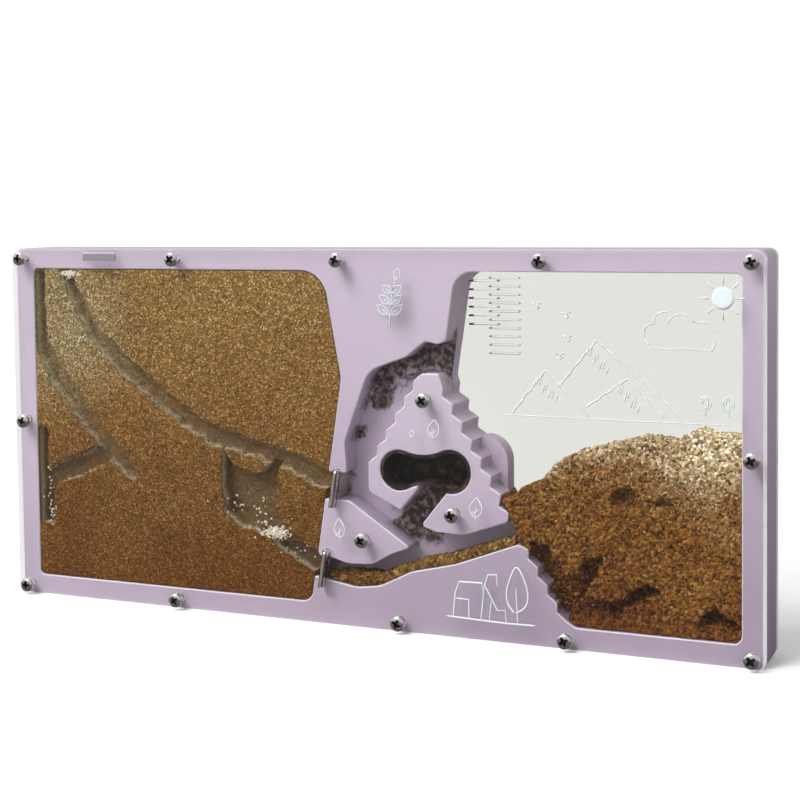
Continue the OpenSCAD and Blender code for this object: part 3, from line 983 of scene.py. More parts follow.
@dataclass
class Outlines:
    """Front-view outlines that several pieces share."""

    width: float = 300.0
    height: float = 140.0
    corner: float = 3.0
    rim: float = 8.0
    lean: float = 9.0              # lean of the nest wall, degrees
    gate_reach: float = 7.15       # half height of a gate's slot
    gate_half: float = 0.65        # half width of the slot
    gate_set: float = 4.25
    screw_hole: float = 1.7
    gates: tuple[float, float] = (51.6, 21.2)
    rim_screws: tuple[Point, ...] = (
        (-146, 136), (-75, 136), (-5, 136), (73, 136), (146, 136),
        (-146, 4), (-76, 4), (18, 4), (81.4, 4), (146, 4), (-146, 70.6), (146, 70.6))
    island_screws: tuple[Point, ...] = ((28.9, 85.9), (39.6, 45.2))
    wedge_screws: tuple[Point, ...] = ((4.0, 33.4),)
    right_top: Point = (34.8, 87.0)
    right_run: Point = (4.1, -2.58)
    right_drop: Point = (-0.5, -3.7)

    def wall_x(self, z: float) -> float:
        """Where the nest wall stands at a height."""
        return -18.8 + (z - 8) * math.tan(math.radians(self.lean))

    def slab(self) -> list[Point]:
        """Outline of the slab and its covers."""
        return box(-self.width / 2, 0, self.width / 2, self.height, self.corner)

    def drill(self, loops: Loops, tag: str, at: Sequence[Point]) -> list[str]:
        """Adds screw holes to the loops of a plate.

        Args:
            loops: outlines of the plate, by name.
            tag: start of the holes' names.
            at: middle of each hole.

        Returns:
            The names of the holes.
        """
        names = [f"{tag}{i}" for i in range(len(at))]
        loops.update((name, ring(p, self.screw_hole, 24)) for name, p in zip(names, at))
        return names

    def gate_box(self, z: float) -> list[Point]:
        """Leaning slot of a gate.

        Args:
            z: height of the gate's middle.

        Returns:
            Its four corners.
        """
        x, a = self.wall_x(z) + self.gate_set, math.radians(self.lean)
        w, h = self.gate_half, self.gate_reach
        return [(x + s * w * math.cos(a) + t * h * math.sin(a),
                 z - s * w * math.sin(a) + t * h * math.cos(a))
                for s, t in ((-1, -1), (1, -1), (1, 1), (-1, 1))]

    def nest(self, inset: float = 0.0) -> list[Point]:
        """Nest window, drawn in by an inset.

        Args:
            inset: how far the fill stays off the wall.

        Returns:
            The outline.
        """
        i, lo, hi = inset, self.rim, self.height - self.rim
        return rounded([(-142 + i, hi - i, 2), (-12.5 - i, hi - i, 11 - i),
                        (self.wall_x(92.3) - i, 92.3, 12), (self.wall_x(lo) - i, lo + i, 4.5 - i),
                        (-142 + i, lo + i, 2)])

    def _step(self, k: int) -> Point:
        """Where step k of the stairs on the right starts."""
        return (self.right_top[0] + k * (self.right_run[0] + self.right_drop[0]),
                self.right_top[1] + k * (self.right_run[1] + self.right_drop[1]))

    def _web_steps(self) -> list[Knot]:
        """Stepped edge of the corridor floor, from its top down to the shoulder."""
        return stairs(self.right_top, self.right_run, self.right_drop, 2, 1.1, 0.4)

    @staticmethod
    def shore() -> list[Knot]:
        """Scalloped shore below the arena, from the tip down."""
        return stairs((67, 34.2), (-0.1, -3.2), (3.6, -2.85), 4, 0.9, 0.9) + [
            (81.3, 9.8, 0.9), (84.3, 8, 1.2)]

    def arena(self) -> list[Point]:
        """Arena window at the back, behind the corridor floor.

        Returns:
            The outline.
        """
        f = self._step(2)
        e = (f[0] + self.right_run[0], f[1] + self.right_run[1])
        return rounded([(40.1, 132, 8), (34.4, 93.4, 1.5), (35.3, 90.7, 1), *self._web_steps(),
                        (*f, 1.1), (*e, 0.3), (e[0] + 0.6, e[1] + 0.5, 0.3),
                        (e[0] + 9.9, e[1] + 0.5, 9.2), (e[0] + 9.9, 53, 3), (60.2, 45, 3),
                        (63.2, 35.7, 0.8), *self.shore(), (142, 8, 3), (142, 132, 2)])

    def opening(self) -> list[Point]:
        """Nest, corridors and arena as the one opening that the body's front has.

        Returns:
            The outline.
        """
        up, low = (self.gate_box(z) for z in self.gates)
        return rounded([
            (-142, 132, 2), (-12.5, 132, 11), (self.wall_x(92.3), 92.3, 12),
            (self.wall_x(57.5), 57.5, 0.3), (up[3][0] - 0.2, 57.4, 0), (*up[3], 0), (*up[2], 0),
            (up[2][0] - 0.2, 57.25, 0), (-3.6, 57.2, 1.2), (-4.4, 69, 8), (5.7, 95.6, 9),
            (20.8, 101, 6), (28.2, 106.9, 3), (33.4, 105.8, 2.5), (36.4, 107.3, 0.8),
            (40.1, 132, 8), (142, 132, 2), (142, 8, 3), *self.shore()[::-1], (63.2, 35.7, 0.8),
            (39, 26.6, 20), (22, 22.6, 15), (9.5, 16.3, 14), (0, 15, 14),
            (low[1][0] + 0.35, 17.1, 0), (*low[1], 0), (*low[0], 0), (low[0][0] + 0.35, 17.55, 0),
            (self.wall_x(17.7), 17.7, 0.3), (self.wall_x(8), 8, 4.5), (-142, 8, 2)])

    @staticmethod
    def lower_floor() -> list[Point]:
        """Lower edge of the lower corridor, from the nest to the tip of the shore.

        Returns:
            The edge from left to right.
        """
        line = rounded([(-12.0, 17.2, 0), (0, 15, 14), (9.5, 16.3, 14), (22, 22.6, 15),
                        (39, 26.6, 20), (63.2, 35.7, 0), (25, 100, 0)])
        return [p for p in line if p[1] < 35.6]

    @staticmethod
    def bean() -> list[Point]:
        """Two-lobed nest chamber: two round lobes and the fillets that join them.

        Returns:
            The outline.
        """
        l, r = np.array([17.5, 59.5]), np.array([37.6, 60.0])
        rl, rr, top_r, low_r = 7.5, 8.0, 19.0, 13.0

        def meet(ra: float, rb: float, side: int) -> Array:
            """Point that is ra and rb away from the two lobes."""
            d = float(np.linalg.norm(r - l))
            t = (d * d + ra * ra - rb * rb) / (2 * d)
            u = (r - l) / d
            return l + t * u + side * math.sqrt(ra * ra - t * t) * np.array([-u[1], u[0]])

        def arc(c: Array, radius: float, start: Array, end: Array, turns: float) -> list[Point]:
            """Points from one direction to the next."""
            a = math.degrees(math.atan2(start[1], start[0]))
            b = math.degrees(math.atan2(end[1], end[0])) + turns
            n = math.ceil(abs(b - a) / 6)
            return [polar(c, radius, math.radians(a + (b - a) * i / n)) for i in range(n)]

        top, low = meet(rl + top_r, rr + top_r, 1), meet(rl + low_r, rr + low_r, -1)
        return (arc(l, rl, top - l, low - l, 360) + arc(low, low_r, l - low, r - low, 0)
                + arc(r, rr, low - r, top - r, 0) + arc(top, top_r, r - top, l - top, 0))

    def island(self) -> list[Point]:
        """Stepped island.

        Returns:
            The outline.
        """
        q = [self._step(k) for k in range(6)]
        e = (q[5][0] + self.right_run[0], q[5][1] + self.right_run[1])
        knots: list[Knot] = [(27, 95.2, 2.5)]
        knots += stairs((23.6, 92.4), (-0.1, -3.4), (-3.55, -2.7), 5, 0.4, 1.1)
        knots += [(5.35, 61.9, 0.7), (5.4, 51, 2.5), (17.9, 45, 0.8), (22, 49.8, 0), (27, 41, 0),
                  (26.8, 39.6, 1.2), (31.5, 37.9, 5), (43, 37.6, 16), (59.3, 43.4, 1.6),
                  (59.8, 46.8, 1), (56, 48.9, 0.8), (*e, 0.4)]
        for k in range(5, 0, -1):
            knots += [(*q[k], 1.1),
                      (q[k][0] - self.right_drop[0], q[k][1] - self.right_drop[1], 0.4)]
        return rounded(knots + [(*self.right_top, 1.1), (35.1, 90, 1.5), (33.4, 95.2, 1.2)])

    @staticmethod
    def passage() -> list[Point]:
        """Slanting passage out of the nest chamber."""
        return rounded([(26.6, 57, 0), (24.4, 52.6, 1.6), (17.9, 45, 0), (12, 38, 0), (20, 34, 0),
                        (27, 41, 0), (36.6, 52.8, 0.8), (37, 57, 0)])

    def wedge(self) -> list[Point]:
        """Wedge between the two corridor mouths.

        Returns:
            The outline.
        """
        return rounded([(self.wall_x(47.2), 47.2, 0.6), (-2.8, 47.2, 4), (21.6, 31.4, 0.7),
                        (14, 28.4, 8), (6.5, 24, 8), (-3.5, 23.5, 10), (-11, 25.4, 6),
                        (self.wall_x(25.4), 25.4, 2)])


# ---- rigid sub-assemblies


@dataclass
class Slab:
    """The lilac body with its island and wedge."""

    outlines: Outlines
    finish: MilledAcrylic = field(default_factory=MilledAcrylic)
    # the blocks carry the same painted shade at the foot and painted highlight on the bevels
    loose: MilledAcrylic = field(default_factory=lambda: MilledAcrylic(
        name="milled_lilac_block", face="#c3b6c8", foot="#a190a8"))
    bevel: float = 0.4
    seat: float = 0.02             # air between a block and the floor, so that the faces part

    def build(self) -> list[Piece]:
        """Builds the three lilac pieces.

        Returns:
            The body, the island and the wedge.
        """
        o = self.outlines
        loops = {"slab": o.slab(), "opening": o.opening(), "nest": o.nest(), "arena": o.arena(),
                 "bean": o.bean()}
        rim = o.drill(loops, "rim", o.rim_screws)
        web = o.drill(loops, "web", o.island_screws + o.wedge_screws)
        body = LayeredPlate(loops, [
            Layer(Y_BODY, Y_FLOOR, ("slab",), ("opening", *rim)),
            Layer(Y_FLOOR, Y_BACK, ("slab",), ("nest", "arena", "bean", *rim, *web))],
            self.bevel, self.bevel).build("lilac_body")
        loops = {"island": o.island(), "bean": o.bean(), "passage": o.passage()}
        cut = o.drill(loops, "hole", o.island_screws)
        island = LayeredPlate(loops, [
            Layer(Y_BODY, Y_FLOOR - self.seat, ("island",), ("bean", "passage", *cut))],
            self.bevel, 0.0).build("stepped_island")
        loops = {"wedge": o.wedge(), "upper": o.gate_box(o.gates[0]),
                 "lower": o.gate_box(o.gates[1])}
        cut = o.drill(loops, "hole", o.wedge_screws)
        wedge = LayeredPlate(loops, [
            Layer(Y_BODY, Y_FLOOR - self.seat, ("wedge",), ("upper", "lower", *cut))],
            self.bevel, 0.0).build("corridor_wedge")
        self.finish.dress(body)
        self.loose.dress(island, wedge)
        mount(body, "body_frame")
        mount(island, "island_block")
        mount(wedge, "wedge_block")
        return [body, island, wedge]


@dataclass
class Covers:
    """The two clear covers with their air slits and gate slots."""

    outlines: Outlines
    finish: ClearAcrylic = field(default_factory=ClearAcrylic)
    edge: SawnEdge = field(default_factory=SawnEdge)
    gap: float = 0.04              # air between a cover and the body, so that the faces part
    slit_height: float = 0.7
    slit_pitch: float = 3.05
    slit_top: float = 129.0
    slit_round: float = 0.28
    pocket: float = 0.6            # depth of the margin plate's pocket
    bevel: float = 0.3

    def build(self) -> list[Piece]:
        """Builds both covers.

        Returns:
            The front cover and the back cover.
        """
        o = self.outlines
        screws = o.rim_screws + o.island_screws + o.wedge_screws
        loops = {"slab": o.slab(), "upper": o.gate_box(o.gates[0]),
                 "lower": o.gate_box(o.gates[1]), "pocket": box(-116.2, 135, -100.8, 138.2, 0.9)}
        cut = o.drill(loops, "hole", screws)
        slits = self._slits(loops, 46.7, 10.6, 6)
        through, floor = ("upper", "lower", *cut, *slits), Y_FRONT + self.pocket
        front = LayeredPlate(loops, [
            Layer(Y_FRONT, floor, ("slab",), (*through, "pocket")),
            Layer(floor, Y_BODY - self.gap, ("slab",), through)],
            self.bevel, self.bevel, slits, ("slab",)).build("front_sheet")
        loops = {"slab": o.slab()}
        cut = o.drill(loops, "hole", screws)
        slits = self._slits(loops, 46.6, 11.6, 10)
        back = LayeredPlate(loops, [
            Layer(Y_BACK + self.gap, Y_REAR, ("slab",), (*cut, *slits))],
            self.bevel, self.bevel, slits, ("slab", *slits)).build("back_sheet")
        self.finish.dress(front, back)
        self.edge.add_to(front, back)
        mount(front, "front_cover")
        mount(back, "back_cover")
        return [front, back]

    def _slits(self, loops: Loops, x: float, width: float, n: int) -> tuple[str, ...]:
        """Adds a column of air slits to the loops of a cover.

        Args:
            loops: outlines of the cover, by name.
            x: left end of the slits.
            width: length of a slit.
            n: how many slits.

        Returns:
            The names of the slits.
        """
        half = self.slit_height / 2
        for k in range(n):
            z = self.slit_top - k * self.slit_pitch
            loops[f"slit{k}"] = box(x, z - half, x + width, z + half, self.slit_round)
        return tuple(f"slit{k}" for k in range(n))


@dataclass
class Screws:
    """Pan-head machine screws with a cross recess, and their hexagon nuts.

    Attributes:
        radius, head: radius and height of the head.
        brow: rounding of the head's edge.
        crown: rise of the head's top from its edge to its middle.
        shank, pitch, thread: radius, pitch and depth of the thread.
        arm, arm_width: reach and half width of one arm of the recess.
        core: radius of the recess's middle.
        recess: depth of the recess.
        wall: run of the recess's sides, the ends of the arms and the middle.
        around: points around a head or shank.
        recess_shade: finish of the recess, dull and darker: painted shade inside the cross.
        nut_flats, nut: width across the flats and height of a nut.
        chamfer: share of the flats that a nut's faces keep.
    """

    radius: float = 2.8
    head: float = 2.07
    brow: float = 0.75
    crown: float = 0.42
    shank: float = 1.5
    pitch: float = 0.5
    thread: float = 0.28
    arm: float = 1.75
    arm_width: float = 0.42
    core: float = 0.95
    recess: float = 1.25
    wall: tuple[float, float, float] = (0.16, 0.35, 0.3)
    around: int = 72
    # painted shade: the recess takes a darker steel
    recess_shade: PlatedSteel = field(default_factory=lambda: PlatedSteel(
        name="recess_steel", colour="#4a4446", roughness=0.4))
    nut_flats: float = 5.5
    nut: float = 2.4
    chamfer: float = 0.96

    def _head_height(self, r: Array, a: Array) -> Array:
        """Height of the head above the cover, with the recess pressed in.

        Args:
            r, a: distance from the axis, and angle.

        Returns:
            The height at each place.
        """
        edge = bowl(np.clip((self.radius - r) / self.brow, 0, 1))
        dome = self.head - self.brow + self.brow * edge - self.crown * (r / self.radius) ** 2
        return dome - self.recess * self._pressed(r, a)

    def _pressed(self, r: Array, a: Array) -> Array:
        """How far the cross recess is pressed in, from 0 to 1.

        Args:
            r, a: distance from the axis, and angle.

        Returns:
            The share at each place.
        """
        x, z = np.abs(r * np.cos(a)), np.abs(r * np.sin(a))
        across, along = np.minimum(x, z), np.maximum(x, z)
        side, end, middle = self.wall
        arm = np.clip((self.arm_width - across) / side + 0.5, 0, 1)
        arm *= np.clip((self.arm - along) / end, 0, 1)
        return np.maximum(arm, np.clip((self.core - r) / middle, 0, 1) * 0.9)

    def _one(self, at: Point, turn: float) -> tuple[Array, Faces, list[int]]:
        """Points and faces of one screw, axis along y.

        Args:
            at: middle of the screw.
            turn: how far its recess is turned, in radians.

        Returns:
            The points, the faces and the numbers of the recess's faces.
        """
        n = self.around
        angles = np.linspace(0, math.tau, n, endpoint=False)

        def circle(r: Array | float, y: Array | float) -> Array:
            """Points around the axis at a radius and a depth."""
            return np.column_stack([r * np.cos(angles), y + np.zeros(n), r * np.sin(angles)])

        radii = np.concatenate([np.linspace(0.12, 2.0, 19),
                                [2.2, 2.4, 2.55, 2.66, 2.74, 2.79, self.radius]])
        rings = [circle(r, Y_FRONT - self._head_height(np.full(n, r), angles)) for r in radii]
        rings.append(circle(self.radius, Y_FRONT - 0.06))
        tip = Y_REAR + self.nut + 0.4
        for y in np.concatenate([np.arange(Y_FRONT - 0.05, Y_BODY, self.pitch / 6),
                                 np.arange(Y_REAR - 0.2, tip - 0.3, self.pitch / 6)]):
            phase = (y / self.pitch - angles / math.tau) % 1.0
            rings.append(circle(self.shank - self.thread * np.abs(2 * phase - 1), y))
        rings.append(circle(1.0, tip))
        verts = np.vstack([*rings, [[0, Y_FRONT - self.head + self.recess, 0]], [[0, tip, 0]]])
        c, s = math.cos(turn), math.sin(turn)
        x, z = verts[:, 0].copy(), verts[:, 2].copy()
        verts[:, 0], verts[:, 2] = x * c - z * s + at[0], x * s + z * c + at[1]
        faces: Faces = []
        dark: list[int] = []
        for k in range(len(rings) - 1):
            faces += hoop(k * n, (k + 1) * n, n, turned=True)
            # faces in the recess take the darker finish, painted shade
            if k < len(radii) and radii[k] < self.arm:
                dark += [k * n + i for i in np.flatnonzero(self._pressed(
                    np.full(n, radii[k]), angles + math.pi / n) > 0.45)]
        last, m = (len(rings) - 1) * n, len(rings) * n
        dark += range(len(faces), len(faces) + n)
        faces += [(m, i, (i + 1) % n) for i in range(n)]
        faces += [(m + 1, last + (i + 1) % n, last + i) for i in range(n)]
        return verts, faces, dark

    def _nut(self, at: Point, turn: float) -> tuple[Array, Faces, list[int]]:
        """Points and faces of one nut with its chamfered corners and bore.

        Args:
            at: middle of the nut.
            turn: how far it is turned, in radians.

        Returns:
            The points, the faces and an empty list, because none is dark.
        """
        n = 60
        angles = np.linspace(0, math.tau, n, endpoint=False)
        flat = self.nut_flats / 2
        hexagon = flat / np.cos((angles + math.pi / 6) % (math.pi / 3) - math.pi / 6)
        flat *= self.chamfer
        slope = 0.577 * np.maximum(0, hexagon - flat)
        bore, mouth, foot = self.shank + 0.06, self.shank + 0.35, 0.02
        rows = [(bore, 0.3), (bore, self.nut - 0.3), (mouth, self.nut), (flat, self.nut),
                (hexagon, self.nut - slope), (hexagon, foot + slope), (flat, foot), (mouth, foot)]
        verts = np.vstack([
            np.column_stack([r * np.cos(angles + turn) + at[0], Y_REAR + y + np.zeros(n),
                             r * np.sin(angles + turn) + at[1]]) for r, y in rows])
        faces: Faces = []
        for k in range(len(rows)):
            faces += hoop(k * n, (k + 1) % len(rows) * n, n)
        return verts, faces, []

    def build(self, groups: dict[str, Sequence[Point]], nuts: dict[str, Sequence[Point]],
              chrome: Finish, zinc: Finish) -> list[Piece]:
        """Builds the screws and nuts, one object for each CAD node.

        Args:
            groups: places of the screws by node.
            nuts: places of the nuts by node.
            chrome: finish of the screws.
            zinc: finish of the nuts.

        Returns:
            The new objects.
        """
        rng = np.random.default_rng(SEED)
        out = []
        for rows, maker, finish, slot in ((groups, self._one, chrome, "screw"),
                                          (nuts, self._nut, zinc, "nut")):
            for node, places in rows.items():
                parts = [maker(at, float(rng.uniform(0, math.pi / 2))) for at in places]
                piece = make_object(f"{node}_headed" if slot == "screw" else f"{node}_hex",
                                    *join([part[:2] for part in parts]), 40.0)
                start = 0
                for _, faces, dark in parts:
                    for i in dark:
                        piece.data.polygons[start + i].material_index = 1
                    start += len(faces)
                finish.dress(piece)
                # second finish for the recess faces, painted shade
                if slot == "screw":
                    self.recess_shade.add_to(piece)
                mount(piece, node)
                out.append(piece)
        return out


# ---- sand


class Chips:
    """Loose grains: small jittered stones joined into one mesh."""

    def __init__(self, seed: int) -> None:
        """Starts the seeded draws and the unit stone.

        Args:
            seed: number that picks the draws.
        """
        self.rng = np.random.default_rng(seed)
        g = (1 + 5 ** 0.5) / 2
        base = np.array([(-1, g, 0), (1, g, 0), (-1, -g, 0), (1, -g, 0), (0, -1, g), (0, 1, g),
                         (0, -1, -g), (0, 1, -g), (g, 0, -1), (g, 0, 1), (-g, 0, -1), (-g, 0, 1)])
        self.stone = base / np.linalg.norm(base[0])
        self.faces = np.array([
            (0, 11, 5), (0, 5, 1), (0, 1, 7), (0, 7, 10), (0, 10, 11), (1, 5, 9), (5, 11, 4),
            (11, 10, 2), (10, 7, 6), (7, 1, 8), (3, 9, 4), (3, 4, 2), (3, 2, 6), (3, 6, 8),
            (3, 8, 9), (4, 9, 5), (2, 4, 11), (6, 2, 10), (8, 6, 7), (9, 8, 1)])

    def build(self, name: str, centres: Array, size: tuple[float, float]) -> Piece:
        """Joins one stone at each centre.

        Args:
            name: name of the piece.
            centres: array of shape (n, 3), in millimetres.
            size: smallest and largest grain.

        Returns:
            The new object.
        """
        n = len(centres)
        radius = self.rng.uniform(size[0], size[1], n) / 2
        shape = self.rng.uniform(0.7, 1.15, (n, 1, 3))
        jitter = self.rng.uniform(0.85, 1.12, (n, 12, 1))
        turn = self.rng.uniform(0, math.tau, n)
        stone = self.stone[None] * jitter * shape
        c, s = np.cos(turn)[:, None], np.sin(turn)[:, None]
        x, z = stone[..., 0].copy(), stone[..., 2].copy()
        stone[..., 0], stone[..., 2] = x * c - z * s, x * s + z * c
        verts = (stone * radius[:, None, None] + centres[:, None]).reshape(-1, 3)
        faces = (self.faces[None] + 12 * np.arange(n)[:, None, None]).reshape(-1, 3)
        return make_object(name, verts, faces.tolist(), None)


@dataclass
class NestSand:
    """Sand fill of the nest window, with galleries dug against the front cover.

    The white grit lies in grit_spots: x and z of the middle, spread in x and z, and number.
    """

    outlines: Outlines
    front: float = -7.35
    back: float = 9.2
    step: float = 0.62
    depth: float = 6.8
    wide: float = 126.0            # about the window's width, which sets how many columns it has
    lip: float = 1.7               # how far in the gallery walls reach full depth
    deepest: float = 6.0           # y that no gallery passes
    skin: float = 0.12             # how far the loose faces stand off the covers
    rim_grains: int = 1900         # loose grains where a gallery is rim_depths deep
    rim_depths: tuple[float, float] = (0.5, 3.0)
    grit_spots: tuple[tuple[float, float, float, float, int], ...] = (
        (-125, 130.4, 2.3, 0.9, 260), (-34, 32.6, 2.8, 1.1, 260), (-138, 31, 2.4, 3.0, 30),
        (-139, 40, 1.5, 6.0, 22), (-44, 38, 8, 3.6, 45), (-22, 27, 7, 1.6, 16))

    def galleries(self) -> list[tuple[list[Point], float]]:
        """Outlines of the dug galleries with the share of the full depth each has.

        Returns:
            Each gallery's outline and share.
        """
        return [
            (band([(-129.6, 137, 7), (-123.6, 125, 7), (-112.6, 107, 7.5), (-98.6, 94, 8.5),
                   (-76.6, 78, 8.5), (-59.6, 69, 9), (-45.6, 66, 8), (-26.6, 61, 8.5),
                   (-16, 56.6, 9), (-5, 52.6, 9)]), 0.68),
            (band([(-140.1, 136, 8), (-140.1, 119, 8), (-138.6, 104, 8), (-130.6, 89, 9),
                   (-114.6, 69, 8.5), (-104.6, 59, 8), (-95, 50.6, 6)]), 0.66),
            (band([(-105.6, 61, 8), (-115.6, 57, 9), (-127.6, 52, 9), (-137.6, 47, 9),
                   (-145, 44.6, 9)]), 0.66),
            (band([(-140.5, 68, 6), (-140.5, 52, 6), (-139, 42, 9), (-139, 29, 8)]), 0.8),
            ([(-57, 65), (-52, 57), (-44, 54), (-39, 56), (-36, 61), (-32, 60), (-34, 42),
              (-30, 35), (-38, 32), (-48, 34), (-56, 39)], 1.0),
            (band([(-36, 35, 6), (-30, 30, 7), (-22, 26, 7), (-14, 22, 7), (-8, 20, 7)]), 1.0),
            ([(-82, 42.6), (-79, 43.6), (-76.4, 42), (-78.4, 40.4), (-80.6, 41)], 0.5)]

    def _dug(self, at: Array) -> Array:
        """How deep the face is dug.

        Args:
            at: (x, z) points of the face.

        Returns:
            The depth of each in millimetres.
        """
        ragged = at + stray(at, 3.1, 5) * 0.8
        ragged += stray(at, 1.1, 7) * 0.3
        deep = np.zeros(len(at))
        for loop, share in self.galleries():
            t = np.clip(depth_inside(ragged, loop) / self.lip + 0.12, 0, 1)
            if share < 0.7:        # a roof that slopes up to the cover over a steep foot
                t = np.clip(1.6 * t, 0, 1) * np.clip(
                    depth_inside(ragged + (0.9, 1.7), loop) / 3.8 + 0.05, 0, 1)
            deep = np.maximum(deep, self.depth * share * bowl(t))
        return deep

    def build(self, finish: Sand, grit: Finish) -> list[Piece]:
        """Builds the fill and its loose grains.

        Args:
            finish: finish of the sand.
            grit: finish of the white grit.

        Returns:
            The fill, its grains and the grit.
        """
        loop = np.array(self.outlines.nest(0.3))
        rows = int((loop[:, 1].max() - loop[:, 1].min()) / self.step)
        z = np.linspace(loop[:, 1].min() + 1e-4, loop[:, 1].max() - 1e-4, rows)
        u = np.linspace(0, 1, int(self.wide / self.step))
        left, right = self._sides(loop, z)
        x = left[:, None] + (right - left)[:, None] * u[None]
        at = np.column_stack([x.ravel(), np.repeat(z, len(u))])
        deep = self._dug(at)
        rough = 0.16 * value_noise(at, 0.9, 1) + 0.10 * value_noise(at, 2.3, 2)
        margin = depth_inside(at, loop.tolist())
        edge = margin < 0.5
        mouth = (at[:, 0] > -30) & (at[:, 1] < 62)      # where galleries run out at the gates
        deep *= np.where(mouth, 1.0, np.clip(margin / 0.9, 0, 1))
        y = self.front + self.skin + np.where(edge, 0.1, rough * (1 + 1.4 * (deep > 1))) + deep
        y = np.clip(y, self.front, self.deepest)
        rear = self.back - self.skin - np.where(edge, 0, 0.1 * value_noise(at, 1.3, 3))
        verts = np.vstack([np.column_stack([at[:, 0], y, at[:, 1]]),
                           np.column_stack([at[:, 0], rear, at[:, 1]])])
        fill = make_object("nest_fill", verts, self._sheet(rows, len(u)), 70.0)
        mark_depth(fill, np.concatenate([deep, np.zeros(len(at))]))
        finish.dress(fill)
        mount(fill, "nest_sand")
        chips = Chips(SEED + 1)
        picks = np.flatnonzero((deep > self.rim_depths[0]) & (deep < self.rim_depths[1]))
        picks = chips.rng.choice(picks, min(self.rim_grains, len(picks)), replace=False)
        rims = verts[picks] + chips.rng.normal(0, 0.15, (len(picks), 3))
        grains = chips.build("nest_grains", rims, (0.5, 1.1))
        finish.dress(grains)
        mount(grains)
        sparkle = chips.build("nest_grit", self._grit(chips.rng, loop.tolist()), (0.5, 1.2))
        grit.dress(sparkle)
        mount(sparkle)
        return [fill, grains, sparkle]

    def _grit(self, rng: np.random.Generator, loop: list[Point]) -> Array:
        """Scatters the white grit: heaps against the cover, and strays down in the galleries.

        Args:
            rng: source of the random draws.
            loop: outline of the fill.

        Returns:
            The middle of each grain.
        """
        spots = []
        for x, z, wide, high, count in self.grit_spots:
            reach = (0.02, 0.3) if count > 100 else (0.2, 0.95)
            p = np.column_stack([rng.normal(x, wide, count), np.zeros(count),
                                 rng.normal(z, high, count)])
            p = p[depth_inside(p[:, [0, 2]], loop) > 0.7]
            p[:, 1] = self.front + 0.5 + self._dug(p[:, [0, 2]]) * rng.uniform(*reach, len(p))
            spots.append(p)
        return np.vstack(spots)

    @staticmethod
    def _sheet(n: int, m: int) -> Faces:
        """Faces of a closed slab whose two sides are grids of points, the front one first.

        Args:
            n: rows of a grid.
            m: points in a row.

        Returns:
            Both sides and the walls round them.
        """
        k = n * m
        faces: Faces = []
        for i in range(n - 1):
            for a in range(i * m, i * m + m - 1):
                b = k + a
                faces += [(a, a + 1, a + m + 1, a + m), (b, b + m, b + m + 1, b + 1)]
        around = [*range(m), *range(2 * m - 1, k, m), *range(k - 2, k - m - 1, -1),
                  *range((n - 2) * m, 0, -m)]
        return faces + [(p, p + k, q + k, q) for p, q in zip(around, around[1:] + around[:1])]

    @staticmethod
    def _sides(loop: Array, z: Array) -> tuple[Array, Array]:
        """Left and right end of the window.

        Args:
            loop: outline of the window.
            z: heights to look at.

        Returns:
            The x of the left end and of the right end at each height.
        """
        left, right = np.full(len(z), 1e9), np.full(len(z), -1e9)
        nxt = np.roll(loop, -1, axis=0)
        for (x0, z0), (x1, z1) in zip(loop, nxt):
            if z0 == z1:
                continue
            hit = (z >= min(z0, z1)) & (z <= max(z0, z1))
            x = x0 + (z - z0) * (x1 - x0) / (z1 - z0)
            left = np.where(hit, np.minimum(left, x), left)
            right = np.where(hit, np.maximum(right, x), right)
        return left, right


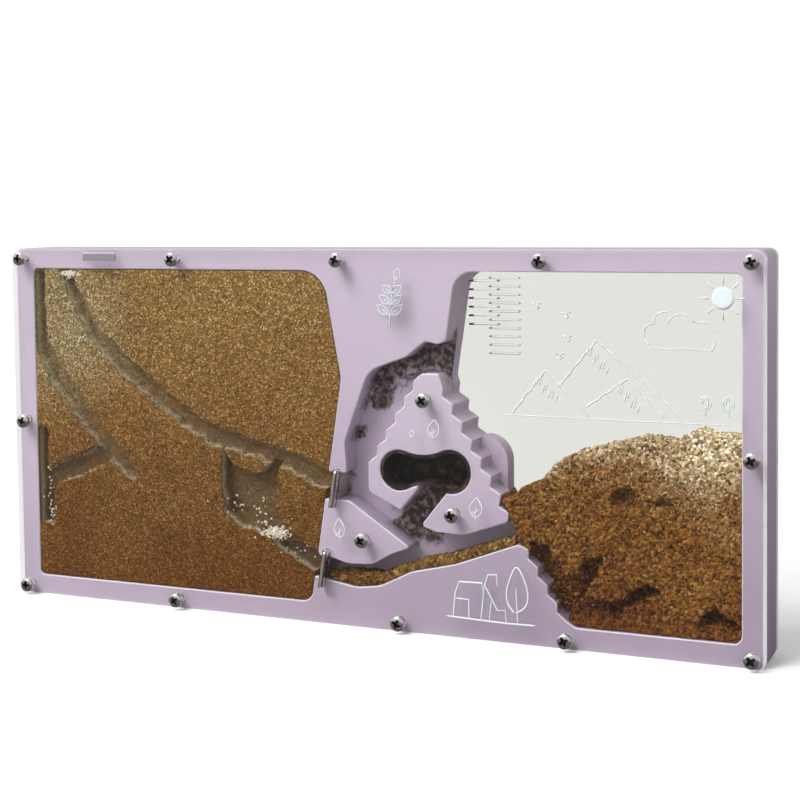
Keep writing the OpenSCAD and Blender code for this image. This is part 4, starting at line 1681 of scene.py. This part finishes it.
@dataclass
class SandBank:
    """A bank of loose sand between two depths, built column by column.

    Attributes:
        name: name of the piece.
        node: CAD node that it stands for.
        slot: material slot of that node; not used.
        low: bottom edge as (x, z) points from left to right.
        high: top edge as (x, z) points from left to right.
        front: depth of its front face.
        back: depth of its back face.
        hollows: dug outlines with the depth of each.
        lip: how far in the walls of a hollow reach full depth.
        step: distance between two columns.
        grain: size of the lumps on its surface.
        ragged: how far the top edge strays.
        shoulder: rounding of the front face into the top.
        least: height that every column keeps.
        chips: loose grains on the top, and as many on the face.
        chip_size: smallest and largest loose grain.
        rim_depths: grains also lie where a hollow is between these depths.
        rear_rows: points down the back of a column.
    """

    name: str
    node: str
    slot: str
    low: list[Point]
    high: list[Point]
    front: float
    back: float
    hollows: list[tuple[list[Point], float]] = field(default_factory=list)
    lip: float = 2.4
    step: float = 0.62
    grain: float = 1.2
    ragged: float = 0.6
    shoulder: float = 1.2
    least: float = 0.4
    chips: int = 900
    chip_size: tuple[float, float] = (0.8, 1.6)
    rim_depths: tuple[float, float] = (0.6, 6.5)
    rear_rows: int = 13

    def _top(self, x: Array, y: Array) -> Array:
        """Height of the bank's top.

        Args:
            x, y: places on the plane.

        Returns:
            The height at each.
        """
        zs = np.interp(x, [p[0] for p in self.high], [p[1] for p in self.high])
        at = np.column_stack([x, y])
        lumps = self.ragged * (0.6 * value_noise(at, 4.3, 21) + 0.5 * value_noise(at, 1.7, 22)
                               + 0.35 * value_noise(at, 0.8, 23))
        return zs + lumps - self.ragged * 0.7

    def _dug(self, at: Array) -> Array:
        """How deep the front face is dug.

        Args:
            at: (x, z) points of the face.

        Returns:
            The depth of each in millimetres.
        """
        ragged = at + stray(at, 2.6, 31)
        ragged += 0.5 * stray(at, 1.1, 33)
        deep = np.zeros(len(at))
        for loop, depth in self.hollows:
            t = np.clip(depth_inside(ragged, loop) / self.lip + 0.15, 0, 1)
            deep = np.maximum(deep, depth * bowl(t))
        return deep

    def build(self, finish: Sand) -> list[Piece]:
        """Builds the bank and its loose grains.

        Args:
            finish: finish of the sand.

        Returns:
            The bank and its grains.
        """
        x0, x1 = self.low[0][0], self.low[-1][0]
        x = np.linspace(x0, x1, int((x1 - x0) / self.step) + 1)
        bottom = np.interp(x, [p[0] for p in self.low], [p[1] for p in self.low])
        tall = max(p[1] for p in self.high) - min(p[1] for p in self.low)
        rows, across = max(8, int(tall / self.step)), max(4, int((self.back - self.front) / 0.8))
        v = np.linspace(0, 1, rows)
        crest = np.maximum(self._top(x, np.full(len(x), self.front)), bottom + self.least)
        z = bottom[:, None] + (crest - bottom)[:, None] * v[None]
        at = np.column_stack([np.repeat(x, rows), z.ravel()])
        deep = self._dug(at)
        rough = (0.30 * value_noise(at, self.grain, 11)
                 + 0.22 * value_noise(at, self.grain * 2.3, 12)
                 + 0.10 * value_noise(at, self.grain * 0.55, 13)) * min(1.0, self.grain)
        below = (crest[:, None] - z).ravel()
        fall = np.clip(1 - below / self.shoulder, 0, 1) ** 2 * self.shoulder
        y = np.clip(self.front + self.chip_size[1] * 0.62 + rough + deep + fall, self.front,
                    self.back - 1.2)
        y = y.reshape(len(x), rows)
        depths = np.linspace(0, 1, across)[1:]
        loops = []
        for i, xi in enumerate(x):
            face = np.column_stack([np.full(rows, xi), y[i], z[i]])
            yy = y[i, -1] + (self.back - y[i, -1]) * depths
            top = np.maximum(self._top(np.full(len(yy), xi), yy), bottom[i] + self.least)
            blend = np.clip((yy - y[i, -1]) / 1.5, 0, 1)
            top = z[i, -1] * (1 - blend) + top * blend
            lid = np.column_stack([np.full(len(yy), xi), yy, top])
            rear = np.array([(xi, self.back, down) for down in
                             np.linspace(lid[-1, 2], bottom[i], self.rear_rows + 1)[1:]])
            loops.append(np.vstack([face, lid, rear]))
        m = len(loops[0])
        verts = np.vstack(loops)
        faces: Faces = []
        for i in range(len(x) - 1):
            faces += hoop(i * m, (i + 1) * m, m, turned=True)
        faces += [tuple(range(m)), tuple(range((len(x) - 1) * m, len(x) * m))[::-1]]
        bank = make_object(self.name, verts, faces, 80.0)
        behind = np.zeros((len(x), m - rows))
        mark_depth(bank, np.hstack([deep.reshape(len(x), rows), behind]).ravel())
        mount(bank, self.node)
        grains = self._grains(np.array(loops), rows, deep, across)
        finish.dress(bank, grains)
        mount(grains)
        return [bank, grains]

    def _grains(self, columns: Array, rows: int, deep: Array, across: int) -> Piece:
        """Loose grains over the top, the face and the hollows' edges.

        Args:
            columns: points of the bank, column by column.
            rows: how many points of a column are on the face.
            deep: how deep each of these is dug.
            across: how many steps a column takes over the top.

        Returns:
            The new object.
        """
        chips = Chips(SEED + len(self.name))
        verts = columns.reshape(-1, 3)
        index = np.arange(len(verts)).reshape(columns.shape[:2])
        top = index[2:-2, rows - 4:rows + across - 3].ravel()
        face = index[2:-2, 2:rows - 2].ravel()
        rims = index[:, :rows].ravel()[
            (deep > self.rim_depths[0]) & (deep < self.rim_depths[1])]
        picks = [chips.rng.choice(top, min(len(top), self.chips)),
                 chips.rng.choice(face, self.chips)]
        if len(rims) > 20:
            picks.append(chips.rng.choice(rims, self.chips // 3))
        at = verts[np.concatenate(picks)] + chips.rng.normal(0, 0.12, (sum(map(len, picks)), 3))
        half = self.chip_size[1] * 0.55
        at[:, 1] = np.clip(at[:, 1], self.front + half, self.back - half)
        return chips.build(f"{self.name}_grains", at, self.chip_size)


# ---- engraved drawings


class Stroke(Enum):
    """How wide a line is engraved, as its radius in millimetres."""

    FINE = 0.22
    PLAIN = 0.26
    BOLD = 0.33


@dataclass
class Engraving:
    """Line drawings on the front cover: hills over the arena, leaves over the blocks, a shed."""

    surface: float = Y_FRONT
    lines: list[tuple[list[Point], Stroke]] = field(default_factory=list)
    discs: list[tuple[Point, float, float]] = field(default_factory=list)

    def draw(self) -> None:
        """Collects every line and filled spot."""
        self._sun((136.4, 124.0), 3.8)
        self._cloud()
        self._mountains()
        for x, z in ((71.7, 120.3), (82.4, 117.4), (82.8, 109.4), (80.0, 103.2)):
            self._bird(x, z)
        for x in (130.6, 138.3):
            self._round_tree(x, 84.6)
        self._leaf((32.2, 71.6), 7.6, 4.2, -8)
        self._leaf((24.0, 72.0), 3.0, 1.7, -10)
        self._leaf((48.4, 43.8), 8.4, 4.6, -4)
        self._leaf((-5.0, 32.6), 8.2, 4.2, 3)
        self._sprig((16.0, 112.0))
        self._house()

    def _add(self, points: Sequence[Point], stroke: Stroke = Stroke.PLAIN) -> None:
        """Adds one open line."""
        self.lines.append((list(points), stroke))

    def _sun(self, at: Point, r: float) -> None:
        """Filled disc with eight rays.

        Args:
            at: middle of the disc.
            r: its radius.
        """
        self.discs.append((at, r, r))
        for k in range(8):
            a = math.tau * k / 8
            self._add([polar(at, r + 0.6, a), polar(at, r + 3.7, a)], Stroke.BOLD)

    def _cloud(self) -> None:
        """Three bumps over a flat foot, the outline broken between them."""
        for cx, cz, r, a, b in ((113.2, 111.6, 3.6, 95, 250), (116.6, 115.8, 3.4, 70, 200),
                                (122.6, 113.8, 4.8, 25, 160), (129.8, 112.2, 3.9, 5, 125),
                                (131.0, 109.0, 2.8, -70, 20)):
            self._add([polar((cx, cz), r, math.radians(t)) for t in np.linspace(a, b, 14)])
        self._add([(112.6, 107.0), (118, 106.6), (124, 107.0), (130.6, 106.5)], Stroke.FINE)

    def _mountains(self) -> None:
        """Three peaks with hatching, over a ground line."""
        self._add([(57.8, 82.2), (100, 82.0), (141.2, 82.0)], Stroke.FINE)
        peaks = (((62.4, 82.6), (74.8, 98.2), (90.6, 82.6)),
                 ((79.6, 92.6), (93.1, 109.0), (123.4, 83.2)),
                 ((89.4, 86.0), (103.9, 96.2), (117.0, 83.6)))
        for left, top, right in peaks:
            self._add(self._ragged(left, top, 7, 0.35), Stroke.BOLD)
            self._add(self._ragged(top, right, 9, 0.55))
            for k in range(7):
                t = 0.12 + 0.09 * k
                x = top[0] - 2.4 + 1.25 * k - 1.2 * t
                z = top[1] - 2.6 - 1.05 * k + (k % 2) * 1.4
                self._add([(x, z), (x - 0.9, z - 2.6 - 0.5 * (k % 3))])

    @staticmethod
    def _ragged(a: Point, b: Point, n: int, amount: float) -> list[Point]:
        """Line from a to b that wavers a little.

        Args:
            a, b: ends of the line.
            n: how many pieces it has.
            amount: how far it strays.

        Returns:
            The points of the line.
        """
        t = np.linspace(0, 1, n + 1)
        off = amount * np.where(np.arange(n + 1) % 2, 1, -0.6) * np.sin(math.pi * t)
        d = np.array([b[0] - a[0], b[1] - a[1]])
        normal = np.array([-d[1], d[0]]) / np.linalg.norm(d)
        return [tuple(np.array(a) + d * s + normal * o) for s, o in zip(t, off)]

    def _bird(self, x: float, z: float) -> None:
        """Two wings and a short body.

        Args:
            x, z: middle of the bird.
        """
        self._add([(x - 1.8, z + 0.7), (x - 0.9, z + 0.9), (x, z - 0.3), (x + 0.7, z + 1.0),
                   (x + 1.8, z + 1.1)])
        self._add([(x - 1.0, z - 0.5), (x + 0.2, z - 0.9), (x + 1.2, z - 0.2)])

    def _round_tree(self, x: float, z: float) -> None:
        """Oval crown with a second oval in it, on a stem that runs up into it.

        Args:
            x, z: foot of the stem.
        """
        for wide, high in ((1.8, 2.3), (0.95, 1.5)):
            self._add([(x + wide * math.sin(a), z + 4.4 - high * math.cos(a))
                       for a in np.linspace(0, math.tau, 19)])
        self._add([(x, z), (x, z + 2.2), (x, z + 4.6)])

    def _leaf(self, foot: Point, length: float, width: float, lean: float) -> None:
        """Pointed leaf on a short stem, with a rib and two veins.

        Args:
            foot: where the leaf starts.
            length, width: size of the leaf.
            lean: degrees from upright.
        """
        a = math.radians(lean)

        def turn(u: float, v: float) -> Point:
            """Point at u across and v along the leaf."""
            return (foot[0] + u * math.cos(a) - v * math.sin(a),
                    foot[1] + u * math.sin(a) + v * math.cos(a))

        t = np.linspace(0, 1, 15)
        half = width / 2 * np.sin(math.pi * t ** 0.8)
        for side in (-1, 1):
            self._add([turn(side * h, length * (0.12 + 0.88 * s)) for s, h in zip(t, half)])
        self._add([turn(0, -0.08 * length), turn(0, 0.62 * length)], Stroke.FINE)
        if length > 5:
            for side, v in ((-1, 0.25), (1, 0.36)):
                self._add([turn(0, v * length), turn(side * width * 0.26, (v + 0.14) * length)],
                          Stroke.FINE)

    def _sprig(self, foot: Point) -> None:
        """Plain sprig of paired leaves.

        Args:
            foot: where the stem starts.
        """
        x, z = foot
        stem = [(x, z), (x + 0.3, z + 7), (x + 1.2, z + 13), (x + 2.6, z + 17)]
        self._add(stem)
        for k, (u, v) in enumerate(((0.1, 4.0), (0.4, 8.0), (1.0, 12.0))):
            for lean in (52, -52):
                self._leaf((x + u, z + v), 6.4 - k * 0.9, 2.8, lean)
        self._leaf((x + 2.5, z + 16.4), 5.0, 2.4, -14)

    def _house(self) -> None:
        """Open shed, gate and a tall leaf-shaped tree on a ground line."""
        self._add([(37.0, 8.6), (50, 8.2), (60, 8.0), (70.4, 8.2)], Stroke.BOLD)
        self._add([(39.6, 8.6), (40.6, 17.6), (42.0, 21.4), (50.6, 21.6), (51.6, 17.4)],
                  Stroke.BOLD)
        self._add([(40.6, 15.4), (45.6, 15.2), (45.8, 8.6)], Stroke.BOLD)
        self._add([(50.2, 8.4), (51.6, 20.0), (53.0, 24.8), (56.2, 25.0), (56.6, 21.0)],
                  Stroke.BOLD)
        self._add([(51.4, 21.6), (56.4, 12.4), (59.4, 12.6), (59.8, 8.2)])
        self._add([(53.4, 8.2), (54.2, 15.6)])
        tree = [(62.6, 12.2), (60.2, 15.0), (59.8, 19.4), (61.4, 24.6), (63.6, 29.4),
                (66.6, 24.4), (68.2, 18.6), (67.2, 14.2), (63.4, 12.0)]
        self._add(self._smooth(tree), Stroke.BOLD)
        self._add([(64.0, 8.2), (63.8, 14.0), (63.4, 21.0)])

    @staticmethod
    def _smooth(points: Sequence[Point]) -> list[Point]:
        """Rounds an open line by cutting its corners twice.

        Args:
            points: the line.

        Returns:
            More points, along a rounder line.
        """
        p = [np.array(q, float) for q in points]
        for _ in range(2):
            q = [p[0]]
            for a, b in zip(p, p[1:]):
                q += [0.75 * a + 0.25 * b, 0.25 * a + 0.75 * b]
            p = q + [p[-1]]
        return [tuple(v) for v in p]

    def _tube(self, line: list[Point], r: float) -> Mesh:
        """Round groove along a line, just under the surface.

        Args:
            line: middle of the groove.
            r: its radius.

        Returns:
            The points and the faces.
        """
        p = np.array(line)
        first, last = p[0] + (p[1] - p[0]) * 0.15, p[-1] + (p[-2] - p[-1]) * 0.15
        p = np.vstack([p[:1], [first], p[1:-1], [last], p[-1:]])
        d = np.gradient(p, axis=0)
        d /= np.maximum(np.linalg.norm(d, axis=1)[:, None], 1e-9)
        normal = np.column_stack([-d[:, 1], d[:, 0]])
        n, verts = 6, []
        for i in range(len(p)):
            taper = 0.45 if i in (0, len(p) - 1) else 1.0
            for k in range(n):
                a = math.tau * k / n
                q = p[i] + normal[i] * r * taper * math.cos(a)
                verts.append((q[0], self.surface + 1.03 * r - r * taper * math.sin(a), q[1]))
        faces: Faces = []
        for i in range(len(p) - 1):
            faces += hoop(i * n, (i + 1) * n, n)
        last = (len(p) - 1) * n
        faces += [tuple(range(n))[::-1], tuple(range(last, last + n))]
        return np.array(verts), faces

    def _lens(self, at: Point, rx: float, rz: float) -> Mesh:
        """Shallow filled spot.

        Args:
            at: middle of the spot.
            rx, rz: its half width and half height.

        Returns:
            The points and the faces.
        """
        n, rows = 40, ((1.0, 0.2), (0.96, 0.06), (0.7, 0.03), (0.35, 0.02))
        verts = [(at[0] + rx * s * math.cos(math.tau * k / n), self.surface + h,
                  at[1] + rz * s * math.sin(math.tau * k / n)) for s, h in rows for k in range(n)]
        verts += [(at[0], self.surface + 0.02, at[1]), (at[0], self.surface + 0.2, at[1])]
        faces: Faces = []
        for j in range(len(rows) - 1):
            faces += hoop(j * n, (j + 1) * n, n)
        top, m = (len(rows) - 1) * n, len(rows) * n
        faces += [(top + k, top + (k + 1) % n, m) for k in range(n)]
        faces += [((k + 1) % n, k, m + 1) for k in range(n)]
        return np.array(verts), faces

    def build(self, finish: Finish) -> Piece:
        """Builds all lines as one piece.

        Args:
            finish: finish of the engraving.

        Returns:
            The new object.
        """
        self.draw()
        parts = [self._tube(line, stroke.value) for line, stroke in self.lines]
        parts += [self._lens(*disc) for disc in self.discs]
        piece = make_object("engraved_lines", *join(parts), 50.0)
        finish.dress(piece)
        mount(piece)
        return piece


# ---- studio


@dataclass
class Studio:
    """Camera at the photograph's angle, pale floor and soft light."""

    eye: tuple[float, float, float] = (0.2501, -0.5301, 0.1570)
    yaw: float = 23.88
    pitch: float = 3.21
    roll: float = -0.67
    lens: float = 71.19
    shift: tuple[float, float] = (-0.002, -0.137)
    key_from: tuple[float, float, float] = (-0.5, -0.75, 0.95)
    key_softness: float = 30.0     # degrees across the light
    key_power: float = 2.15
    sky: float = 0.50              # strength of the pale surroundings for soft light
    sky_seen: float = 0.58         # added where the camera sees them
    sky_through: float = 1.05      # added where they show through the covers
    sky_mirrored: float = 0.25     # added in reflections, which brightens the metal

    def camera(self) -> Piece:
        """Creates the camera and makes it the scene's own.

        Returns:
            The camera.
        """
        yaw, pitch, roll = (math.radians(a) for a in (self.yaw, self.pitch, self.roll))
        ahead = Vector((-math.sin(yaw) * math.cos(pitch), math.cos(yaw) * math.cos(pitch),
                        -math.sin(pitch)))
        side = Vector((math.cos(yaw), math.sin(yaw), 0))
        up = side.cross(ahead)
        right = math.cos(roll) * side + math.sin(roll) * up
        upright = -math.sin(roll) * side + math.cos(roll) * up
        data = bpy.data.cameras.new("camera")
        data.lens, data.sensor_width = self.lens, 36.0
        data.shift_x, data.shift_y = self.shift
        data.clip_start, data.clip_end = 0.01, 30.0
        obj = bpy.data.objects.new("camera", data)
        rows = Matrix((right, upright, -ahead)).transposed().to_4x4()
        obj.matrix_world = Matrix.Translation(Vector(self.eye)) @ rows
        bpy.context.scene.collection.objects.link(obj)
        bpy.context.scene.camera = obj
        return obj

    def lights(self) -> None:
        """Pale surroundings, brighter on the left, and a large soft light from the upper left."""
        world = bpy.context.scene.world or bpy.data.worlds.new("world")
        bpy.context.scene.world = world
        world.use_nodes = True
        tree = world.node_tree
        tree.nodes.clear()
        add = partial(add_node, tree)
        rays = add("LightPath")
        axes = add("SeparateXYZ", {0: add("TexCoord").outputs["Generated"]})
        strength = add("MapRange", {
            "Value": axes.outputs[0], "From Min": -1.0, "From Max": 1.0,
            "To Min": self.sky * 1.2, "To Max": self.sky * 0.6}).outputs[0]
        mirror = mirrored(tree)
        through = add("Math", {0: rays.outputs["Is Transmission Ray"], 1: mirror},
                      operation="SUBTRACT", use_clamp=True).outputs[0]
        for ray, more in ((rays.outputs["Is Camera Ray"], self.sky_seen),
                          (through, self.sky_through), (mirror, self.sky_mirrored)):
            strength = add("Math", {
                0: ray, 1: more, 2: strength}, operation="MULTIPLY_ADD").outputs[0]
        sky = add("Background", {"Color": srgb("#ffffff"), "Strength": strength})
        add("OutputWorld", {"Surface": sky})
        data = bpy.data.lights.new("key", "SUN")
        data.angle, data.energy = math.radians(self.key_softness), self.key_power
        obj = bpy.data.objects.new("key", data)
        obj.location = self.key_from
        obj.rotation_euler = (-Vector(self.key_from)).to_track_quat("-Z", "Y").to_euler()
        bpy.context.scene.collection.objects.link(obj)

    def floor(self, finish: Finish) -> Piece:
        """Wide pale floor under the slab.

        Args:
            finish: finish of the floor.

        Returns:
            The new object.
        """
        n, half, drop = 24, 4000.0, 0.05
        line = np.linspace(-half, half, n)
        xs, ys = np.meshgrid(line, line)
        verts = np.column_stack([xs.ravel(), ys.ravel(), np.full(n * n, -drop)])
        faces = [(i * n + j, i * n + j + 1, (i + 1) * n + j + 1, (i + 1) * n + j)
                 for i in range(n - 1) for j in range(n - 1)]
        obj = make_object("floor", verts, faces)
        finish.dress(obj)
        return obj


# ---- whole habitat


NEST = Sand()
ARENA = Sand(
    name="coarse_quartz_sand", grain=0.85, top=92.0, haze_share=0.0, bleach=(1.26, 1.56, 2.2),
    stops=((0.0, "#5d421f"), (0.2, "#9b7747"), (0.55, "#b99867"), (0.84, "#dcb881"),
           (1.0, "#f6e6c2")),
    damp=((0.0, "#875f2b"), (0.16, "#8e6433"), (0.43, "#a88753"), (0.76, "#c3b4a6")),
    # painted shade: deep hollows are darker
    dug=((0.15, "#ffffff"), (0.55, "#ceaa66"), (0.95, "#b8965a")),
    dry_spots=((134.0, 83.0, 29.0), (72.0, 72.0, 17.0), (90.0, 82.0, 20.0), (108.0, 88.0, 21.0)))
CORRIDOR = Sand(name="corridor_quartz_sand", grain=0.9, top=40.0)


def arena_bank() -> SandBank:
    """Heap of coarse sand in the arena.

    Returns:
        The heap, not yet built.
    """
    shore = [(p[0], p[1]) for p in Outlines.shore()]
    low = [(56.4, 52.6), (60.5, 45.2), (63.5, 36.0)]
    low += [(x + 0.35, z + 0.2) for x, z in shore[:-1]] + [(84.6, 8.35), (141.7, 8.35)]
    low.sort()
    high = [(55, 50.5), (61, 52), (64, 55.4), (72, 58.6), (77, 65.5), (83, 68.5), (90, 70.5),
            (99, 72.8), (107, 75), (114, 74.4), (119, 74), (122, 76.5), (126, 79), (130, 76.8),
            (142, 77)]
    hollows = [([(68.4, 36), (70.5, 37), (74.4, 34), (77, 30), (80.4, 26), (83, 26), (86, 28.6),
                 (88.6, 33), (92.6, 33), (92.8, 28), (90, 24), (88, 18.8), (94.8, 18),
                 (101, 19.6), (109, 25.2), (114.6, 22), (105, 17.4), (99.4, 13.6), (94, 12),
                 (84, 11), (80.4, 12), (76.4, 17.6), (71.8, 24), (68.8, 30)], 8.0),
               ([(127, 16), (131, 18.5), (135, 18.5), (138, 16), (141, 12), (137, 11),
                 (134, 13), (129, 11.5)], 7.5),
               ([(96, 53), (99, 56), (102, 58), (107, 55), (106, 52), (98, 51)], 5.0),
               ([(112, 54), (117, 55), (119, 52), (113, 51.5)], 4.0),
               ([(110.6, 43.6), (115, 43.8), (114, 42.0), (111, 42)], 2.5)]
    return SandBank("arena_heap", "arena_sand", "arena_sand", low, high, -7.25, 9.2, hollows,
                    chips=3600)


def tunnel_bank() -> SandBank:
    """Strip of sand along the bottom of the lower corridor.

    Returns:
        The strip, not yet built.
    """
    low = [(x, z + 0.3) for x, z in Outlines.lower_floor()]
    low = [(-11.3, low[0][1] - 0.1)] + [p for p in low if -11.3 < p[0] < 61.7] + [(61.7, 35.4)]
    high = [(-11.3, 19.6), (-7, 20.2), (1, 20.4), (10, 20.9), (18, 24.2), (26, 27.4),
            (37, 29.8), (49, 34.3), (61.7, 38.7)]
    return SandBank("corridor_strip", "tunnel_sand", "nest_sand", low, high, -7.25, 2.2,
                    step=0.5, grain=0.9, ragged=0.7, chips=500, chip_size=(0.6, 1.2))


def dress_nodes(nodes: dict[str, Piece]) -> None:
    """Gives the CAD nodes that stay in view their finishes.

    Args:
        nodes: the CAD nodes by name.
    """
    gate = PlatedSteel(name="brushed_stainless", colour="#d8d3cc", roughness=0.38,
                       line_scale=1500.0)
    gate.dress(nodes["upper_gate"], nodes["lower_gate"])
    EtchedGrey().dress(nodes["margin_plate"])
    SootyGypsum().dress(nodes["nest_liner"])


def main() -> None:
    """Loads the frame, builds each sub-assembly in order and reports it."""
    logging.basicConfig(level=logging.INFO, format="%(name)s: %(message)s")
    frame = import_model()
    studio = Studio()
    studio.camera()
    studio.lights()
    studio.floor(StudioPaper())
    bpy.context.scene.view_settings.view_transform = "Standard"
    outlines = Outlines()
    screws = outlines.rim_screws
    pieces: list[Piece] = []
    pieces += Slab(outlines).build()
    pieces += Covers(outlines).build()
    pieces += Screws().build(
        {"top_screws": screws[:5], "bottom_screws": screws[5:10], "side_screws": screws[10:],
         "island_screws": outlines.island_screws, "wedge_screw": outlines.wedge_screws},
        {"top_nuts": screws[:5], "bottom_nuts": screws[5:10], "side_nuts": screws[10:],
         "island_nuts": outlines.island_screws, "wedge_nut": outlines.wedge_screws},
        PlatedSteel(name="chrome_plated_steel", roughness=0.2),
        PlatedSteel(name="zinc_plated_steel", colour="#bfc1c4", roughness=0.34))
    pieces += NestSand(outlines).build(NEST, QuartzChip())
    pieces += arena_bank().build(ARENA)
    pieces += tunnel_bank().build(CORRIDOR)
    pieces.append(Engraving().build(FrostedCut()))
    dress_nodes(frame["nodes"])
    for piece in pieces:
        LOG.info("%s: %d faces", piece.name, len(piece.data.polygons))


if __name__ == "__main__":
    main()
